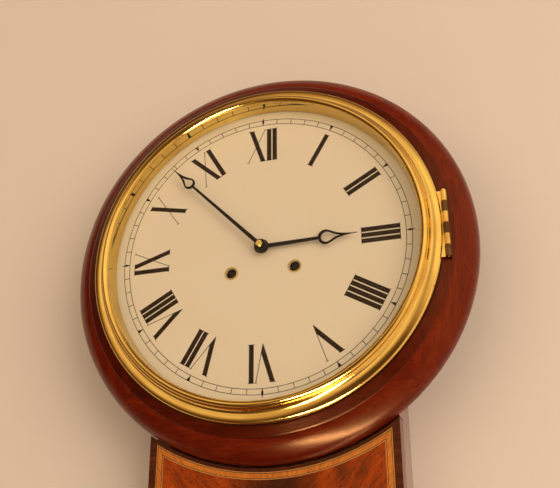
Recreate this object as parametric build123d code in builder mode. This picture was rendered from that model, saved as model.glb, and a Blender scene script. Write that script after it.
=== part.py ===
from build123d import *
import os
from math import acos, atan2, cos, degrees, hypot, pi, radians, sin, sqrt

os.makedirs("parts", exist_ok=True)

# A round-dial wall clock: dial head, straight trunk and pendulum box.
# Units are millimetres. +X is to the right, +Y goes into the wall, +Z is up.
# The origin is the middle of the hanging hole, on the plane of the wall.
# Most places are given as (x, z) from the middle of the dial, with f, the distance
# in front of the face of the dial; f is negative behind the dial.

# --- Driving dimensions -------------------------------------------------------------
WALL = 79.5              # from the wall to the face of the dial
DIAL_DROP = 150.0        # from the hanging hole down to the middle of the dial
DIAL_R = 152.4           # a twelve inch dial plate
DIAL_THICK = 1.5
SIGHT_R = 149.0          # inside of the bezel's polished wall
BEZEL_R = 167.7          # outer edge of the bezel
RING_R = 196.8           # outer edge of the turned wooden surround
RING_BORE = 98.0         # opening for the movement
RING_BACK = -25.5        # back of the surround, and front of the trunk
TRUNK_HALF = 114.3       # half the width of the trunk
BOARD = 12.0             # thickness of the side boards
DOOR_THICK = 16.0
DOOR_ARC_R = 198.2       # hollow top of the trunk door, clear of the surround
HEAD_TOP = 125.0
TRUNK_FOOT = -484.0      # top of the pendulum box
BOX_HALF = 160.0
BOX_TOP = -500.0
BOX_FLOOR = -650.0
BOX_FOOT = -668.0
BOX_FRONT = -14.0        # face of the pendulum box door
BACK_THICK = 8.0
GAP = 0.4                # between a door and the boards it closes on

BACK = -WALL
SIDE_IN = TRUNK_HALF - BOARD
BOX_IN = BOX_HALF - BOARD
TRUNK_DOOR_BACK = RING_BACK - DOOR_THICK
BOX_DOOR_BACK = BOX_FRONT - DOOR_THICK
BACKBOARD_FRONT = BACK + BACK_THICK
HORN_Z = -sqrt(DOOR_ARC_R ** 2 - TRUNK_HALF ** 2)

# --- Movement -----------------------------------------------------------------------
FRONT_PLATE = (-12.0, -9.5)
BACK_PLATE = (-53.0, -50.5)
PLATE_HALF = 66.0
PLATE_TOP = 66.0
PLATE_FOOT = -58.0
PIVOT_R = 0.8
ARBOR_R = 1.2
FIT = 0.05               # radial clearance of a running fit

GREAT_MODULE = 0.6
TRAIN_MODULE = 0.5
FINE_MODULE = 0.45
GREAT_TEETH = 84
GREAT_PINION = 12
SECOND_TEETH = 72
CENTRE_PINION = 8
CENTRE_TEETH = 80
THIRD_PINION = 8
THIRD_TEETH = 60
ESCAPE_PINION = 8
ESCAPE_TEETH = 30
ESCAPE_R = 14.8
CANNON_TEETH = 24
MINUTE_TEETH = 48
MINUTE_PINION = 8
HOUR_TEETH = 48
PIN_TEETH = 70
LOCKING_PINION = 7
LOCKING_TEETH = 56
FLY_PINION = 7


def gear_distance(teeth, mate, module):
    """Distance between two meshed arbors."""
    return (teeth + mate) * module / 2


def polar(start, reach, angle):
    """The point at a distance and an angle from another."""
    return (start[0] + reach * cos(radians(angle)), start[1] + reach * sin(radians(angle)))


def bearing(start, end):
    """The direction from one arbor to another, in degrees."""
    return degrees(atan2(end[1] - start[1], end[0] - start[0]))


def meet(first, first_reach, second, second_reach, side):
    """The arbor that stands at one distance from each of two others."""
    span = hypot(second[0] - first[0], second[1] - first[1])
    along = (first_reach ** 2 - second_reach ** 2 + span ** 2) / (2 * span)
    turn = side * degrees(acos(along / first_reach))
    return polar(first, first_reach, bearing(first, second) + turn)


CENTRE = (0.0, 0.0)
GOING = (30.5, -22.0)
STRIKE = (-30.5, -22.0)
ESCAPE = (0.0, 33.0)
PALLETS = (0.0, 54.2)
GREAT_REACH = gear_distance(GREAT_TEETH, GREAT_PINION, GREAT_MODULE)
SECOND_REACH = gear_distance(SECOND_TEETH, CENTRE_PINION, GREAT_MODULE)
THIRD_REACH = gear_distance(CENTRE_TEETH, THIRD_PINION, TRAIN_MODULE)
ESCAPE_REACH = gear_distance(THIRD_TEETH, ESCAPE_PINION, TRAIN_MODULE)
LOCKING_REACH = gear_distance(PIN_TEETH, LOCKING_PINION, TRAIN_MODULE)
FLY_REACH = gear_distance(LOCKING_TEETH, FLY_PINION, FINE_MODULE)
MOTION_REACH = gear_distance(MINUTE_TEETH, CANNON_TEETH, TRAIN_MODULE)
HOUR_MODULE = 2 * MOTION_REACH / (HOUR_TEETH + MINUTE_PINION)
SECOND = meet(CENTRE, SECOND_REACH, GOING, GREAT_REACH, -1)
THIRD = meet(CENTRE, THIRD_REACH, ESCAPE, ESCAPE_REACH, -1)
PINS = polar(STRIKE, GREAT_REACH, 105)
LOCKING = polar(PINS, LOCKING_REACH, 75)
FLY = polar(LOCKING, FLY_REACH, 100)
MINUTE = polar(CENTRE, MOTION_REACH, 90)
HAMMER = (-56.0, 18.0)
BELL = (12.0, 87.0)
BELL_R = 23.5
CORNERS = [(58.0, 57.0), (-58.0, 57.0), (-58.0, -50.0), (58.0, -50.0)]
FEET = [(48.0, 52.0), (-48.0, 52.0), (-48.0, -48.0), (48.0, -48.0)]

# --- Pendulum, beating 4500 an hour ---------------------------------------------------
PENDULUM_F = -61.0
BOB_Z = PALLETS[1] - 636.0
BOB_R = 45.0
BOB_HALF = 8.0


# --- Helpers ------------------------------------------------------------------------
def facing(f, x=0.0, z=0.0):
    """A plane parallel to the dial, from which an extrusion comes forward."""
    return Plane(origin=(x, -WALL - f, -DIAL_DROP + z), x_dir=(1, 0, 0), z_dir=(0, -1, 0))


def turning(x=0.0, z=0.0):
    """A section plane for turned work: first the radius, then f."""
    return Plane(origin=(x, -WALL, -DIAL_DROP + z), x_dir=(1, 0, 0), z_dir=(0, 0, -1))


def spindle(x=0.0, z=0.0):
    """The line that turned work turns about."""
    return Axis((x, -WALL, -DIAL_DROP + z), (0, -1, 0))


def block(left, right, foot, top, behind, front):
    """A rectangular block between three pairs of limits."""
    with BuildSketch(facing(behind)) as face:
        with Locations(((left + right) / 2, (foot + top) / 2)):
            Rectangle(right - left, top - foot)
    return extrude(face.sketch, amount=front - behind, mode=Mode.PRIVATE)


def disc(place, radius, behind, front):
    """A round bar along the line of sight."""
    with BuildSketch(facing(behind, *place)) as face:
        Circle(radius)
    return extrude(face.sketch, amount=front - behind, mode=Mode.PRIVATE)


def upright(x, f, radius, foot, top):
    """A round bar that stands along Z."""
    base = Plane.XY.offset(foot - DIAL_DROP)
    with BuildSketch(base) as face:
        with Locations((x, -WALL - f)):
            Circle(radius)
    return extrude(face.sketch, amount=top - foot, mode=Mode.PRIVATE)


def turned(points, place=(0.0, 0.0)):
    """A solid turned from an outline of (radius, f) points."""
    with BuildSketch(turning(*place)) as outline:
        Polygon(*points, align=None)
    return revolve(outline.sketch, axis=spindle(*place), mode=Mode.PRIVATE)


def tooth_points(teeth, module, phase, addendum=0.65, dedendum=1.1, root=0.35, tip=0.14):
    """The outline of a gear with narrow flat-sided teeth; phase is where a tooth is."""
    step = 2 * pi / teeth
    outer = teeth * module / 2 + addendum * module
    inner = teeth * module / 2 - dedendum * module
    corners = [(inner, -root / 2), (outer, -tip / 2), (outer, tip / 2), (inner, root / 2)]
    points = []
    for tooth in range(teeth):
        for radius, turn in corners:
            angle = radians(phase) + (tooth + turn) * step
            points.append((radius * cos(angle), radius * sin(angle)))
    return points


def mesh_phase(teeth, mate, direction, phase=0.0):
    """Where a gear has a tooth, if it meshes with a mate that lies in a direction from it."""
    lead = (phase - direction) % (360 / teeth)
    return direction + 180 - lead * teeth / mate + 180 / mate


def wheel(place, behind, front, teeth, module, phase=0.0, hub=4.0, spokes=5):
    """A brass wheel with crossings."""
    rim = teeth * module / 2 - 1.1 * module - 1.6
    with BuildSketch(facing(behind, *place)) as face:
        Polygon(*tooth_points(teeth, module, phase), align=None)
        if spokes:
            Circle(rim, mode=Mode.SUBTRACT)
            Circle(hub)
            with PolarLocations((rim + hub) / 2, spokes):
                Rectangle(rim - hub + 1.0, 1.8)
    return extrude(face.sketch, amount=front - behind, mode=Mode.PRIVATE)


def pinion(place, behind, front, teeth, module, phase):
    """A small solid gear."""
    return wheel(place, behind, front, teeth, module, phase, spokes=0)


def arbor(place, radius=ARBOR_R):
    """A shaft between the plates, with a thinner pivot in each of them."""
    body = disc(place, radius, BACK_PLATE[1] + 0.2, FRONT_PLATE[0] - 0.2)
    pivot = disc(place, PIVOT_R, BACK_PLATE[0], FRONT_PLATE[1])
    return body + pivot


def finish(piece, name):
    """Name a finished piece and write it out."""
    piece.part.label = name
    export_step(piece.part, f"parts/{name}.step")


# --- Case ---------------------------------------------------------------------------
HANG_PLATE_FOOT = HEAD_TOP - 26
HANG_HOLE_R = 4.5
HANG_PLATE_THICK = 2.0
HANG_PLATE_HALF = 17.0

with BuildPart() as backboard:
    add(block(-SIDE_IN, SIDE_IN, BOX_FLOOR, HEAD_TOP, BACK, BACKBOARD_FRONT))
    add(block(-BOX_IN, BOX_IN, BOX_FLOOR, BOX_TOP, BACK, BACKBOARD_FRONT))
    add(block(-HANG_PLATE_HALF, HANG_PLATE_HALF, HANG_PLATE_FOOT, HEAD_TOP,
              BACK, BACK + HANG_PLATE_THICK), mode=Mode.SUBTRACT)
finish(backboard, "backboard")

SCREW_SPOTS = [(-10.0, HEAD_TOP - 8), (10.0, HEAD_TOP - 8), (0.0, HEAD_TOP - 19)]
SCREW_R = 1.6
SCREW_HEAD_R = 3.2

with BuildPart() as hanging_plate:
    with BuildSketch(facing(BACK)):
        with Locations((0, (HANG_PLATE_FOOT + DIAL_DROP) / 2)):
            Rectangle(2 * HANG_PLATE_HALF, DIAL_DROP - HANG_PLATE_FOOT)
        with Locations((0, DIAL_DROP)):
            Circle(HANG_PLATE_HALF)
            Circle(HANG_HOLE_R, mode=Mode.SUBTRACT)
    extrude(amount=HANG_PLATE_THICK)
    for spot in SCREW_SPOTS:
        add(turned([(0, BACK), (SCREW_HEAD_R, BACK), (SCREW_R, BACK + HANG_PLATE_THICK),
                    (0, BACK + HANG_PLATE_THICK)], spot), mode=Mode.SUBTRACT)
finish(hanging_plate, "hanging_plate")

with BuildPart() as hanging_plate_screws:
    for spot in SCREW_SPOTS:
        add(turned([(0, BACK), (SCREW_HEAD_R, BACK), (SCREW_R, BACK + HANG_PLATE_THICK),
                    (SCREW_R, BACKBOARD_FRONT - 1), (0, BACKBOARD_FRONT - 0.2)], spot))
finish(hanging_plate_screws, "hanging_plate_screws")


def side_board(inner):
    """A trunk side: deep behind the head, cut back where the trunk door closes on it."""
    steps = [(BACK, TRUNK_FOOT), (TRUNK_DOOR_BACK - GAP, TRUNK_FOOT),
             (TRUNK_DOOR_BACK - GAP, HORN_Z + 1.0), (RING_BACK, HORN_Z + 1.0),
             (RING_BACK, HEAD_TOP), (BACK, HEAD_TOP)]
    with BuildSketch(Plane.YZ.offset(inner)) as outline:
        Polygon(*[(-WALL - f, z - DIAL_DROP) for f, z in steps], align=None)
    return extrude(outline.sketch, amount=BOARD, mode=Mode.PRIVATE)


with BuildPart() as head_top:
    add(block(-SIDE_IN, SIDE_IN, HEAD_TOP - BOARD, HEAD_TOP, BACKBOARD_FRONT, RING_BACK))
finish(head_top, "head_top")

BULGE_MID = (178.4, -23.3)
BULGE_R = RING_R - BULGE_MID[0]
BULGE_SHOULDER = (BULGE_MID[0] + BULGE_R * cos(pi / 4), BULGE_MID[1] + BULGE_R * sin(pi / 4))
FASCIA_TOP = 5.0
QUIRK_R = 177.6

BEZEL_PIN_X = 170.8
BEZEL_PIN_F = 8.0
BEZEL_KNUCKLE_R = 2.6
BEZEL_KNUCKLE = 10.7
BEZEL_KNUCKLES = 6
BEZEL_HINGE_TOP = 30.2
BEZEL_HINGE_FOOT = BEZEL_HINGE_TOP - BEZEL_KNUCKLES * BEZEL_KNUCKLE
BEZEL_LEAF = (BEZEL_PIN_X + 1.4, BEZEL_PIN_X + 2.5)
BEZEL_LEAF_DEPTH = -9.0

with BuildPart() as dial_surround:
    with BuildSketch(turning()):
        with BuildLine():
            CenterArc(BULGE_MID, BULGE_R, 0, 45)
            TangentArc(BULGE_SHOULDER, (QUIRK_R + 0.4, -1.6), tangent=(-1, 1))
            Polyline((QUIRK_R + 0.4, -1.6), (QUIRK_R, -0.4), (BEZEL_R + 0.2, FASCIA_TOP),
                     (153.0, FASCIA_TOP), (153.0, -DIAL_THICK), (RING_BORE, -DIAL_THICK),
                     (RING_BORE, RING_BACK), (RING_R, RING_BACK), (RING_R, BULGE_MID[1]))
        make_face()
    revolve(axis=spindle())
    add(block(BEZEL_LEAF[0], BEZEL_LEAF[1], BEZEL_HINGE_FOOT, BEZEL_HINGE_TOP,
              BEZEL_LEAF_DEPTH, BEZEL_PIN_F), mode=Mode.SUBTRACT)
finish(dial_surround, "dial_surround")

# --- Door hinges ----------------------------------------------------------------------
# Each hinge has five knuckles: three on the case and two on the door.
HINGE_LENGTH = 40.0
HINGE_LEAF = 1.0         # thickness of a leaf
HINGE_LEAF_WIDTH = 9.0
HINGE_R = 2.3
HINGE_PIN_R = 1.0
HINGE_OUT = 2.7          # from the side of the case to the pin
KNUCKLES = 5
KNUCKLE_GAP = 0.3
TRUNK_HINGES = (-275.0, -430.0)
BOX_HINGES = (-530.0, -620.0)


def knuckle_spans(middle, first):
    """The heights of every second knuckle of a hinge, and the clearance at its ends."""
    length = HINGE_LENGTH / KNUCKLES
    foot = middle - HINGE_LENGTH / 2
    return [(foot + turn * length + KNUCKLE_GAP / 2, foot + (turn + 1) * length - KNUCKLE_GAP / 2)
            for turn in range(first, KNUCKLES, 2)]


def leaf_pocket(side, behind, middle):
    """The recess that a leaf lies in."""
    half = HINGE_LENGTH / 2
    return block(side - HINGE_LEAF_WIDTH, side, middle - half, middle + half,
                 behind, behind + HINGE_LEAF)


def hinge_leaf(side, seam, behind, middle, first, bore):
    """A leaf and its knuckles. The pin stands outside the case, level with the seam."""
    leaf = leaf_pocket(side, behind, middle)
    pin_x = side + HINGE_OUT
    for foot, top in knuckle_spans(middle, first):
        arm = block(side, pin_x, foot, top, behind, behind + HINGE_LEAF)
        leaf = leaf + arm + upright(pin_x, seam, HINGE_R, foot, top)
    return leaf - upright(pin_x, seam, bore, middle - HINGE_LENGTH, middle + HINGE_LENGTH)


TRUNK_SEAM = TRUNK_DOOR_BACK - GAP / 2
BOX_SEAM = BOX_DOOR_BACK - GAP / 2

with BuildPart() as trunk_left_side:
    add(side_board(-TRUNK_HALF))
finish(trunk_left_side, "trunk_left_side")

with BuildPart() as trunk_right_side:
    add(side_board(SIDE_IN))
    for middle in TRUNK_HINGES:
        add(leaf_pocket(TRUNK_HALF, TRUNK_DOOR_BACK - GAP - HINGE_LEAF, middle),
            mode=Mode.SUBTRACT)
finish(trunk_right_side, "trunk_right_side")

with BuildPart() as case_hinge_leaves:
    for middle in TRUNK_HINGES:
        add(hinge_leaf(TRUNK_HALF, TRUNK_SEAM, TRUNK_DOOR_BACK - GAP - HINGE_LEAF,
                       middle, 0, HINGE_PIN_R))
    for middle in BOX_HINGES:
        add(hinge_leaf(BOX_HALF, BOX_SEAM, BOX_DOOR_BACK - GAP - HINGE_LEAF,
                       middle, 0, HINGE_PIN_R))
finish(case_hinge_leaves, "case_hinge_leaves")

with BuildPart() as hinge_pins:
    for side, seam, middles in ((TRUNK_HALF, TRUNK_SEAM, TRUNK_HINGES),
                                (BOX_HALF, BOX_SEAM, BOX_HINGES)):
        for middle in middles:
            half = HINGE_LENGTH / 2
            add(upright(side + HINGE_OUT, seam, HINGE_PIN_R, middle - half, middle + half))
            add(upright(side + HINGE_OUT, seam, HINGE_PIN_R + 0.6, middle + half, middle + half + 1.4))
            add(upright(side + HINGE_OUT, seam, HINGE_PIN_R + 0.6, middle - half - 1.4, middle - half))
finish(hinge_pins, "hinge_pins")

with BuildPart() as trunk_door_leaves:
    for middle in TRUNK_HINGES:
        add(hinge_leaf(TRUNK_HALF, TRUNK_SEAM, TRUNK_DOOR_BACK, middle, 1, HINGE_PIN_R + FIT))
finish(trunk_door_leaves, "trunk_door_leaves")

with BuildPart() as box_door_leaves:
    for middle in BOX_HINGES:
        add(hinge_leaf(BOX_HALF, BOX_SEAM, BOX_DOOR_BACK, middle, 1, HINGE_PIN_R + FIT))
finish(box_door_leaves, "box_door_leaves")

# --- Pendulum box ---------------------------------------------------------------------
PASSAGE_FRONT = -44.0    # front of the opening that the pendulum hangs through

with BuildPart() as box_sides:
    add(block(-BOX_HALF, -BOX_IN, BOX_FLOOR, BOX_TOP, BACK, BOX_DOOR_BACK - GAP))
    add(block(BOX_IN, BOX_HALF, BOX_FLOOR, BOX_TOP, BACK, BOX_DOOR_BACK - GAP))
    for middle in BOX_HINGES:
        add(leaf_pocket(BOX_HALF, BOX_DOOR_BACK - GAP - HINGE_LEAF, middle), mode=Mode.SUBTRACT)
finish(box_sides, "box_sides")


def layer_block(foot, top, out):
    """A board that stands out past the box by the same overhang in front and at the sides."""
    return block(-BOX_HALF - out, BOX_HALF + out, foot, top, BACK, BOX_FRONT + out)


def rim(part, out):
    """The long edges of the layer with that overhang."""
    front_y = -WALL - BOX_FRONT - out
    front = [edge for edge in part.edges().filter_by(Axis.X)
             if abs(edge.center().Y - front_y) < 0.01]
    sides = [edge for edge in part.edges().filter_by(Axis.Y)
             if abs(abs(edge.center().X) - BOX_HALF - out) < 0.01]
    return front + sides


# Foot, top, overhang and edge rounding of each step of the two mouldings.
CORNICE = [(BOX_TOP, BOX_TOP + 4, 3.0, 0.8), (BOX_TOP + 4, BOX_TOP + 11, 10.0, 3.3),
           (BOX_TOP + 11, TRUNK_FOOT, 6.0, 2.0)]
PLINTH = [(BOX_FLOOR - 5, BOX_FLOOR, 4.0, 1.5), (BOX_FOOT, BOX_FLOOR - 5, 10.0, 4.0)]

with BuildPart() as box_cornice:
    for foot, top, out, rounding in CORNICE:
        add(layer_block(foot, top, out))
    for foot, top, out, rounding in CORNICE:
        fillet(rim(box_cornice.part, out), radius=rounding)
    add(block(-SIDE_IN, SIDE_IN, BOX_TOP, TRUNK_FOOT, BACK, PASSAGE_FRONT), mode=Mode.SUBTRACT)
finish(box_cornice, "box_cornice")

with BuildPart() as box_plinth:
    for foot, top, out, rounding in PLINTH:
        add(layer_block(foot, top, out))
    for foot, top, out, rounding in PLINTH:
        fillet(rim(box_plinth.part, out), radius=rounding)
finish(box_plinth, "box_plinth")

# --- Trunk door -----------------------------------------------------------------------
TRUNK_DOOR_FOOT = TRUNK_FOOT + 1.5
BORDER = 6.8             # crossbanded border outside the inlaid band
BAND = 6.6               # width of the inlaid band
INLAY = 0.8
BAND_ARC_R = 201.5
TRUNK_LATCH = (-88.0, -338.0)
SPINDLE_R = 2.5


def hollow_panel(half, foot, arc):
    """A panel face whose top follows the round head above it."""
    with BuildSketch() as face:
        with Locations((0, foot / 2)):
            Rectangle(2 * half, -foot)
        Circle(arc, mode=Mode.SUBTRACT)
        with Locations((0, foot / 2)):
            Rectangle(2 * half, -foot, mode=Mode.INTERSECT)
    return face.sketch


def inlaid_band():
    """The banding, let into the face of the door."""
    outer = hollow_panel(TRUNK_HALF - BORDER, TRUNK_DOOR_FOOT + BORDER, BAND_ARC_R)
    inner = hollow_panel(TRUNK_HALF - BORDER - BAND, TRUNK_DOOR_FOOT + BORDER + BAND,
                         BAND_ARC_R + BAND)
    place = facing(RING_BACK - INLAY)
    return extrude(place * (outer - inner), amount=INLAY, mode=Mode.PRIVATE)


with BuildPart() as trunk_door:
    door_face = facing(TRUNK_DOOR_BACK) * hollow_panel(TRUNK_HALF, TRUNK_DOOR_FOOT, DOOR_ARC_R)
    extrude(door_face, amount=DOOR_THICK)
    for middle in TRUNK_HINGES:
        add(leaf_pocket(TRUNK_HALF, TRUNK_DOOR_BACK, middle), mode=Mode.SUBTRACT)
    add(inlaid_band(), mode=Mode.SUBTRACT)
    add(disc(TRUNK_LATCH, SPINDLE_R + FIT, TRUNK_DOOR_BACK, RING_BACK), mode=Mode.SUBTRACT)
finish(trunk_door, "trunk_door")

with BuildPart() as trunk_inlay:
    add(inlaid_band())
finish(trunk_inlay, "trunk_inlay")

# --- Pendulum box door ------------------------------------------------------------------
BOX_DOOR_TOP = BOX_TOP - 1.0
BOX_DOOR_FOOT = BOX_FLOOR + 1.0
WINDOW_HALF = 118.0
WINDOW_TOP = -527.0
WINDOW_FOOT = -625.0
REBATE = 5.0
GLASS = 2.5
BOX_LATCH = (-138.0, -576.0)

with BuildPart() as box_door_frame:
    add(block(-BOX_HALF, BOX_HALF, BOX_DOOR_FOOT, BOX_DOOR_TOP, BOX_DOOR_BACK, BOX_FRONT))
    add(block(-WINDOW_HALF, WINDOW_HALF, WINDOW_FOOT, WINDOW_TOP, BOX_DOOR_BACK, BOX_FRONT),
        mode=Mode.SUBTRACT)
    add(block(-WINDOW_HALF - REBATE, WINDOW_HALF + REBATE, WINDOW_FOOT - REBATE,
              WINDOW_TOP + REBATE, BOX_DOOR_BACK, BOX_DOOR_BACK + 8), mode=Mode.SUBTRACT)
    for middle in BOX_HINGES:
        add(leaf_pocket(BOX_HALF, BOX_DOOR_BACK, middle), mode=Mode.SUBTRACT)
    add(disc(BOX_LATCH, SPINDLE_R + FIT, BOX_DOOR_BACK, BOX_FRONT), mode=Mode.SUBTRACT)
finish(box_door_frame, "box_door_frame")

with BuildPart() as box_glass:
    add(block(-WINDOW_HALF - REBATE, WINDOW_HALF + REBATE, WINDOW_FOOT - REBATE,
              WINDOW_TOP + REBATE, BOX_DOOR_BACK + 8 - GLASS, BOX_DOOR_BACK + 8))
finish(box_glass, "box_glass")


def latch(place, behind, front, side_in):
    """A turned knob on a spindle, with an arm behind the door. The arm stops short of
    the case."""
    knob_f = front + 0.4
    profile = [(0, behind - 3.2), (SPINDLE_R, behind - 3.2), (SPINDLE_R, knob_f), (6.0, knob_f),
               (6.0, knob_f + 1.6), (3.2, knob_f + 2.6), (3.2, knob_f + 5.0), (5.6, knob_f + 6.4),
               (7.0, knob_f + 9.0), (6.4, knob_f + 11.6), (4.0, knob_f + 13.6), (0, knob_f + 14.4)]
    reach = place[0] + side_in - 1.2
    arm = block(place[0] - reach, place[0] + 4, place[1] - 3.5, place[1] + 3.5,
                behind - 3.0, behind - 0.8)
    return turned(profile, place) + arm


with BuildPart() as trunk_latch:
    add(latch(TRUNK_LATCH, TRUNK_DOOR_BACK, RING_BACK, SIDE_IN))
finish(trunk_latch, "trunk_latch")

with BuildPart() as box_latch:
    add(latch(BOX_LATCH, BOX_DOOR_BACK, BOX_FRONT, BOX_IN))
finish(box_latch, "box_latch")

# --- Dial -------------------------------------------------------------------------------
DIAL_CENTRE_HOLE = 5.2
WINDING_HOLE = 5.0
GROMMET_R = 6.5
DIAL_SCREW_R = 150.9
DIAL_SCREW_ANGLES = (60, 180, 300)

with BuildPart() as dial_plate:
    add(disc(CENTRE, DIAL_R, -DIAL_THICK, 0))
    add(disc(CENTRE, DIAL_CENTRE_HOLE, -DIAL_THICK, 0), mode=Mode.SUBTRACT)
    for hole in (GOING, STRIKE):
        add(disc(hole, WINDING_HOLE, -DIAL_THICK, 0), mode=Mode.SUBTRACT)
    for angle in DIAL_SCREW_ANGLES:
        add(disc(polar(CENTRE, DIAL_SCREW_R, angle), 0.8, -DIAL_THICK, 0), mode=Mode.SUBTRACT)
finish(dial_plate, "dial_plate")

with BuildPart() as winding_grommets:
    for hole in (GOING, STRIKE):
        add(disc(hole, GROMMET_R, 0, 0.5))
        add(disc(hole, WINDING_HOLE, 0, 0.5), mode=Mode.SUBTRACT)
finish(winding_grommets, "winding_grommets")

# --- Bezel --------------------------------------------------------------------------------
BEZEL_SEAT = 5.3
BEZEL_WALL = 150.4       # outside of the polished wall
GLASS_BACK = 16.0
GLASS_FRONT = 17.8
BEZEL_PLATE = (5.9, 7.4)

with BuildPart() as bezel_ring:
    with BuildSketch(turning()):
        with BuildLine():
            Line((SIGHT_R, 0.6), (SIGHT_R, GLASS_FRONT))
            Line((SIGHT_R, GLASS_FRONT), (148.2, GLASS_FRONT))
            ThreePointArc((148.2, GLASS_FRONT), (149.6, 20.0), (151.6, 18.9))
            ThreePointArc((151.6, 18.9), (152.6, 17.3), (154.4, 16.6))
            Line((154.4, 16.6), (154.9, 16.0))
            ThreePointArc((154.9, 16.0), (156.6, 14.3), (159.4, 13.4))
            ThreePointArc((159.4, 13.4), (160.9, 14.5), (162.3, 13.0))
            ThreePointArc((162.3, 13.0), (163.6, 10.2), (166.0, 9.0))
            ThreePointArc((166.0, 9.0), (167.1, 8.7), (BEZEL_R, 7.6))
            Line((BEZEL_R, 7.6), (BEZEL_R, BEZEL_SEAT))
            Polyline((BEZEL_R, BEZEL_SEAT), (165.2, BEZEL_SEAT), (161.2, 10.6), (156.0, 12.4),
                     (BEZEL_WALL, 15.2), (BEZEL_WALL, 0.6), (SIGHT_R, 0.6))
        make_face()
    revolve(axis=spindle())
    add(block(163.0, BEZEL_PIN_X - 2.95, BEZEL_HINGE_FOOT, BEZEL_HINGE_TOP, *BEZEL_PLATE),
        mode=Mode.SUBTRACT)
finish(bezel_ring, "bezel_ring")

with BuildPart() as bezel_glass:
    add(disc(CENTRE, SIGHT_R - 0.1, GLASS_BACK, GLASS_FRONT))
finish(bezel_glass, "bezel_glass")


def bezel_knuckles(first):
    """Foot and top of every second knuckle of the bezel hinge."""
    return [(BEZEL_HINGE_TOP - (turn + 1) * BEZEL_KNUCKLE + 0.1,
             BEZEL_HINGE_TOP - turn * BEZEL_KNUCKLE - 0.1)
            for turn in range(first, BEZEL_KNUCKLES, 2)]


with BuildPart() as bezel_hinge_leaf:
    add(block(163.0, BEZEL_PIN_X - 2.95, BEZEL_HINGE_FOOT, BEZEL_HINGE_TOP, *BEZEL_PLATE))
    for foot, top in bezel_knuckles(0):
        add(block(BEZEL_PIN_X - 3, BEZEL_PIN_X, foot, top, *BEZEL_PLATE))
        add(upright(BEZEL_PIN_X, BEZEL_PIN_F, BEZEL_KNUCKLE_R, foot, top))
    add(upright(BEZEL_PIN_X, BEZEL_PIN_F, HINGE_PIN_R, -50, 50), mode=Mode.SUBTRACT)
finish(bezel_hinge_leaf, "bezel_hinge_leaf")

with BuildPart() as surround_hinge_leaf:
    add(block(*BEZEL_LEAF, BEZEL_HINGE_FOOT, BEZEL_HINGE_TOP, BEZEL_LEAF_DEPTH,
              BEZEL_PIN_F - BEZEL_KNUCKLE_R - 0.4))
    for foot, top in bezel_knuckles(1):
        add(block(*BEZEL_LEAF, foot, top, BEZEL_LEAF_DEPTH, BEZEL_PIN_F))
        add(upright(BEZEL_PIN_X, BEZEL_PIN_F, BEZEL_KNUCKLE_R, foot, top))
    add(upright(BEZEL_PIN_X, BEZEL_PIN_F, HINGE_PIN_R + FIT, -50, 50), mode=Mode.SUBTRACT)
finish(surround_hinge_leaf, "surround_hinge_leaf")

with BuildPart() as bezel_hinge_pin:
    add(upright(BEZEL_PIN_X, BEZEL_PIN_F, HINGE_PIN_R, BEZEL_HINGE_FOOT - 0.8, BEZEL_HINGE_TOP))
    add(upright(BEZEL_PIN_X, BEZEL_PIN_F, 1.8, BEZEL_HINGE_TOP, BEZEL_HINGE_TOP + 1.0))
finish(bezel_hinge_pin, "bezel_hinge_pin")

# --- Movement plates ----------------------------------------------------------------------
CENTRE_R = 2.0
WINDER_R = 3.0
THIN_ARBORS = [SECOND, THIRD, ESCAPE, PINS, LOCKING, FLY]
STUD_R = 1.2
STUD_FRONT = -3.6


def drilled(plate, bores):
    """Cut each (place, radius) bore through a plate."""
    for place, radius in bores:
        plate = plate - disc(place, radius, BACK_PLATE[0] - 1, FRONT_PLATE[1] + 1)
    return plate


PIVOTS = [(place, PIVOT_R + FIT) for place in THIN_ARBORS]
WINDERS = [(place, WINDER_R + FIT) for place in (GOING, STRIKE)]

with BuildPart() as front_plate:
    add(drilled(block(-PLATE_HALF, PLATE_HALF, PLATE_FOOT, PLATE_TOP, *FRONT_PLATE),
                PIVOTS + WINDERS + [(CENTRE, CENTRE_R + FIT), (PALLETS, PIVOT_R + FIT),
                                    (HAMMER, PIVOT_R + FIT)]))
    add(disc(MINUTE, STUD_R, FRONT_PLATE[1], STUD_FRONT))
finish(front_plate, "front_plate")

with BuildPart() as back_plate:
    add(drilled(block(-PLATE_HALF, PLATE_HALF, PLATE_FOOT, PLATE_TOP, *BACK_PLATE),
                PIVOTS + WINDERS + [(CENTRE, PIVOT_R + FIT), (PALLETS, ARBOR_R + FIT),
                                    (HAMMER, PIVOT_R + FIT)]))
finish(back_plate, "back_plate")

with BuildPart() as pillars:
    for corner in CORNERS:
        add(turned([(0, BACK_PLATE[1]), (4.5, BACK_PLATE[1]), (4.5, -47), (3.0, -45), (3.0, -38),
                    (4.2, -34), (3.0, -30), (3.0, -17), (4.5, -15), (4.5, FRONT_PLATE[0]),
                    (0, FRONT_PLATE[0])], corner))
    for foot in FEET:
        add(disc(foot, 3.0, FRONT_PLATE[1], -DIAL_THICK))
finish(pillars, "pillars_and_dial_feet")

with BuildPart() as small_screws:
    for corner in CORNERS:
        add(disc(corner, 3.2, FRONT_PLATE[1], FRONT_PLATE[1] + 1.6))
        add(disc(corner, 3.2, BACK_PLATE[0] - 1.6, BACK_PLATE[0]))
    for angle in DIAL_SCREW_ANGLES:
        spot = polar(CENTRE, DIAL_SCREW_R, angle)
        add(disc(spot, 1.3, 0, 0.3))
        add(disc(spot, 0.8, -10, 0))
finish(small_screws, "small_screws")

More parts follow.
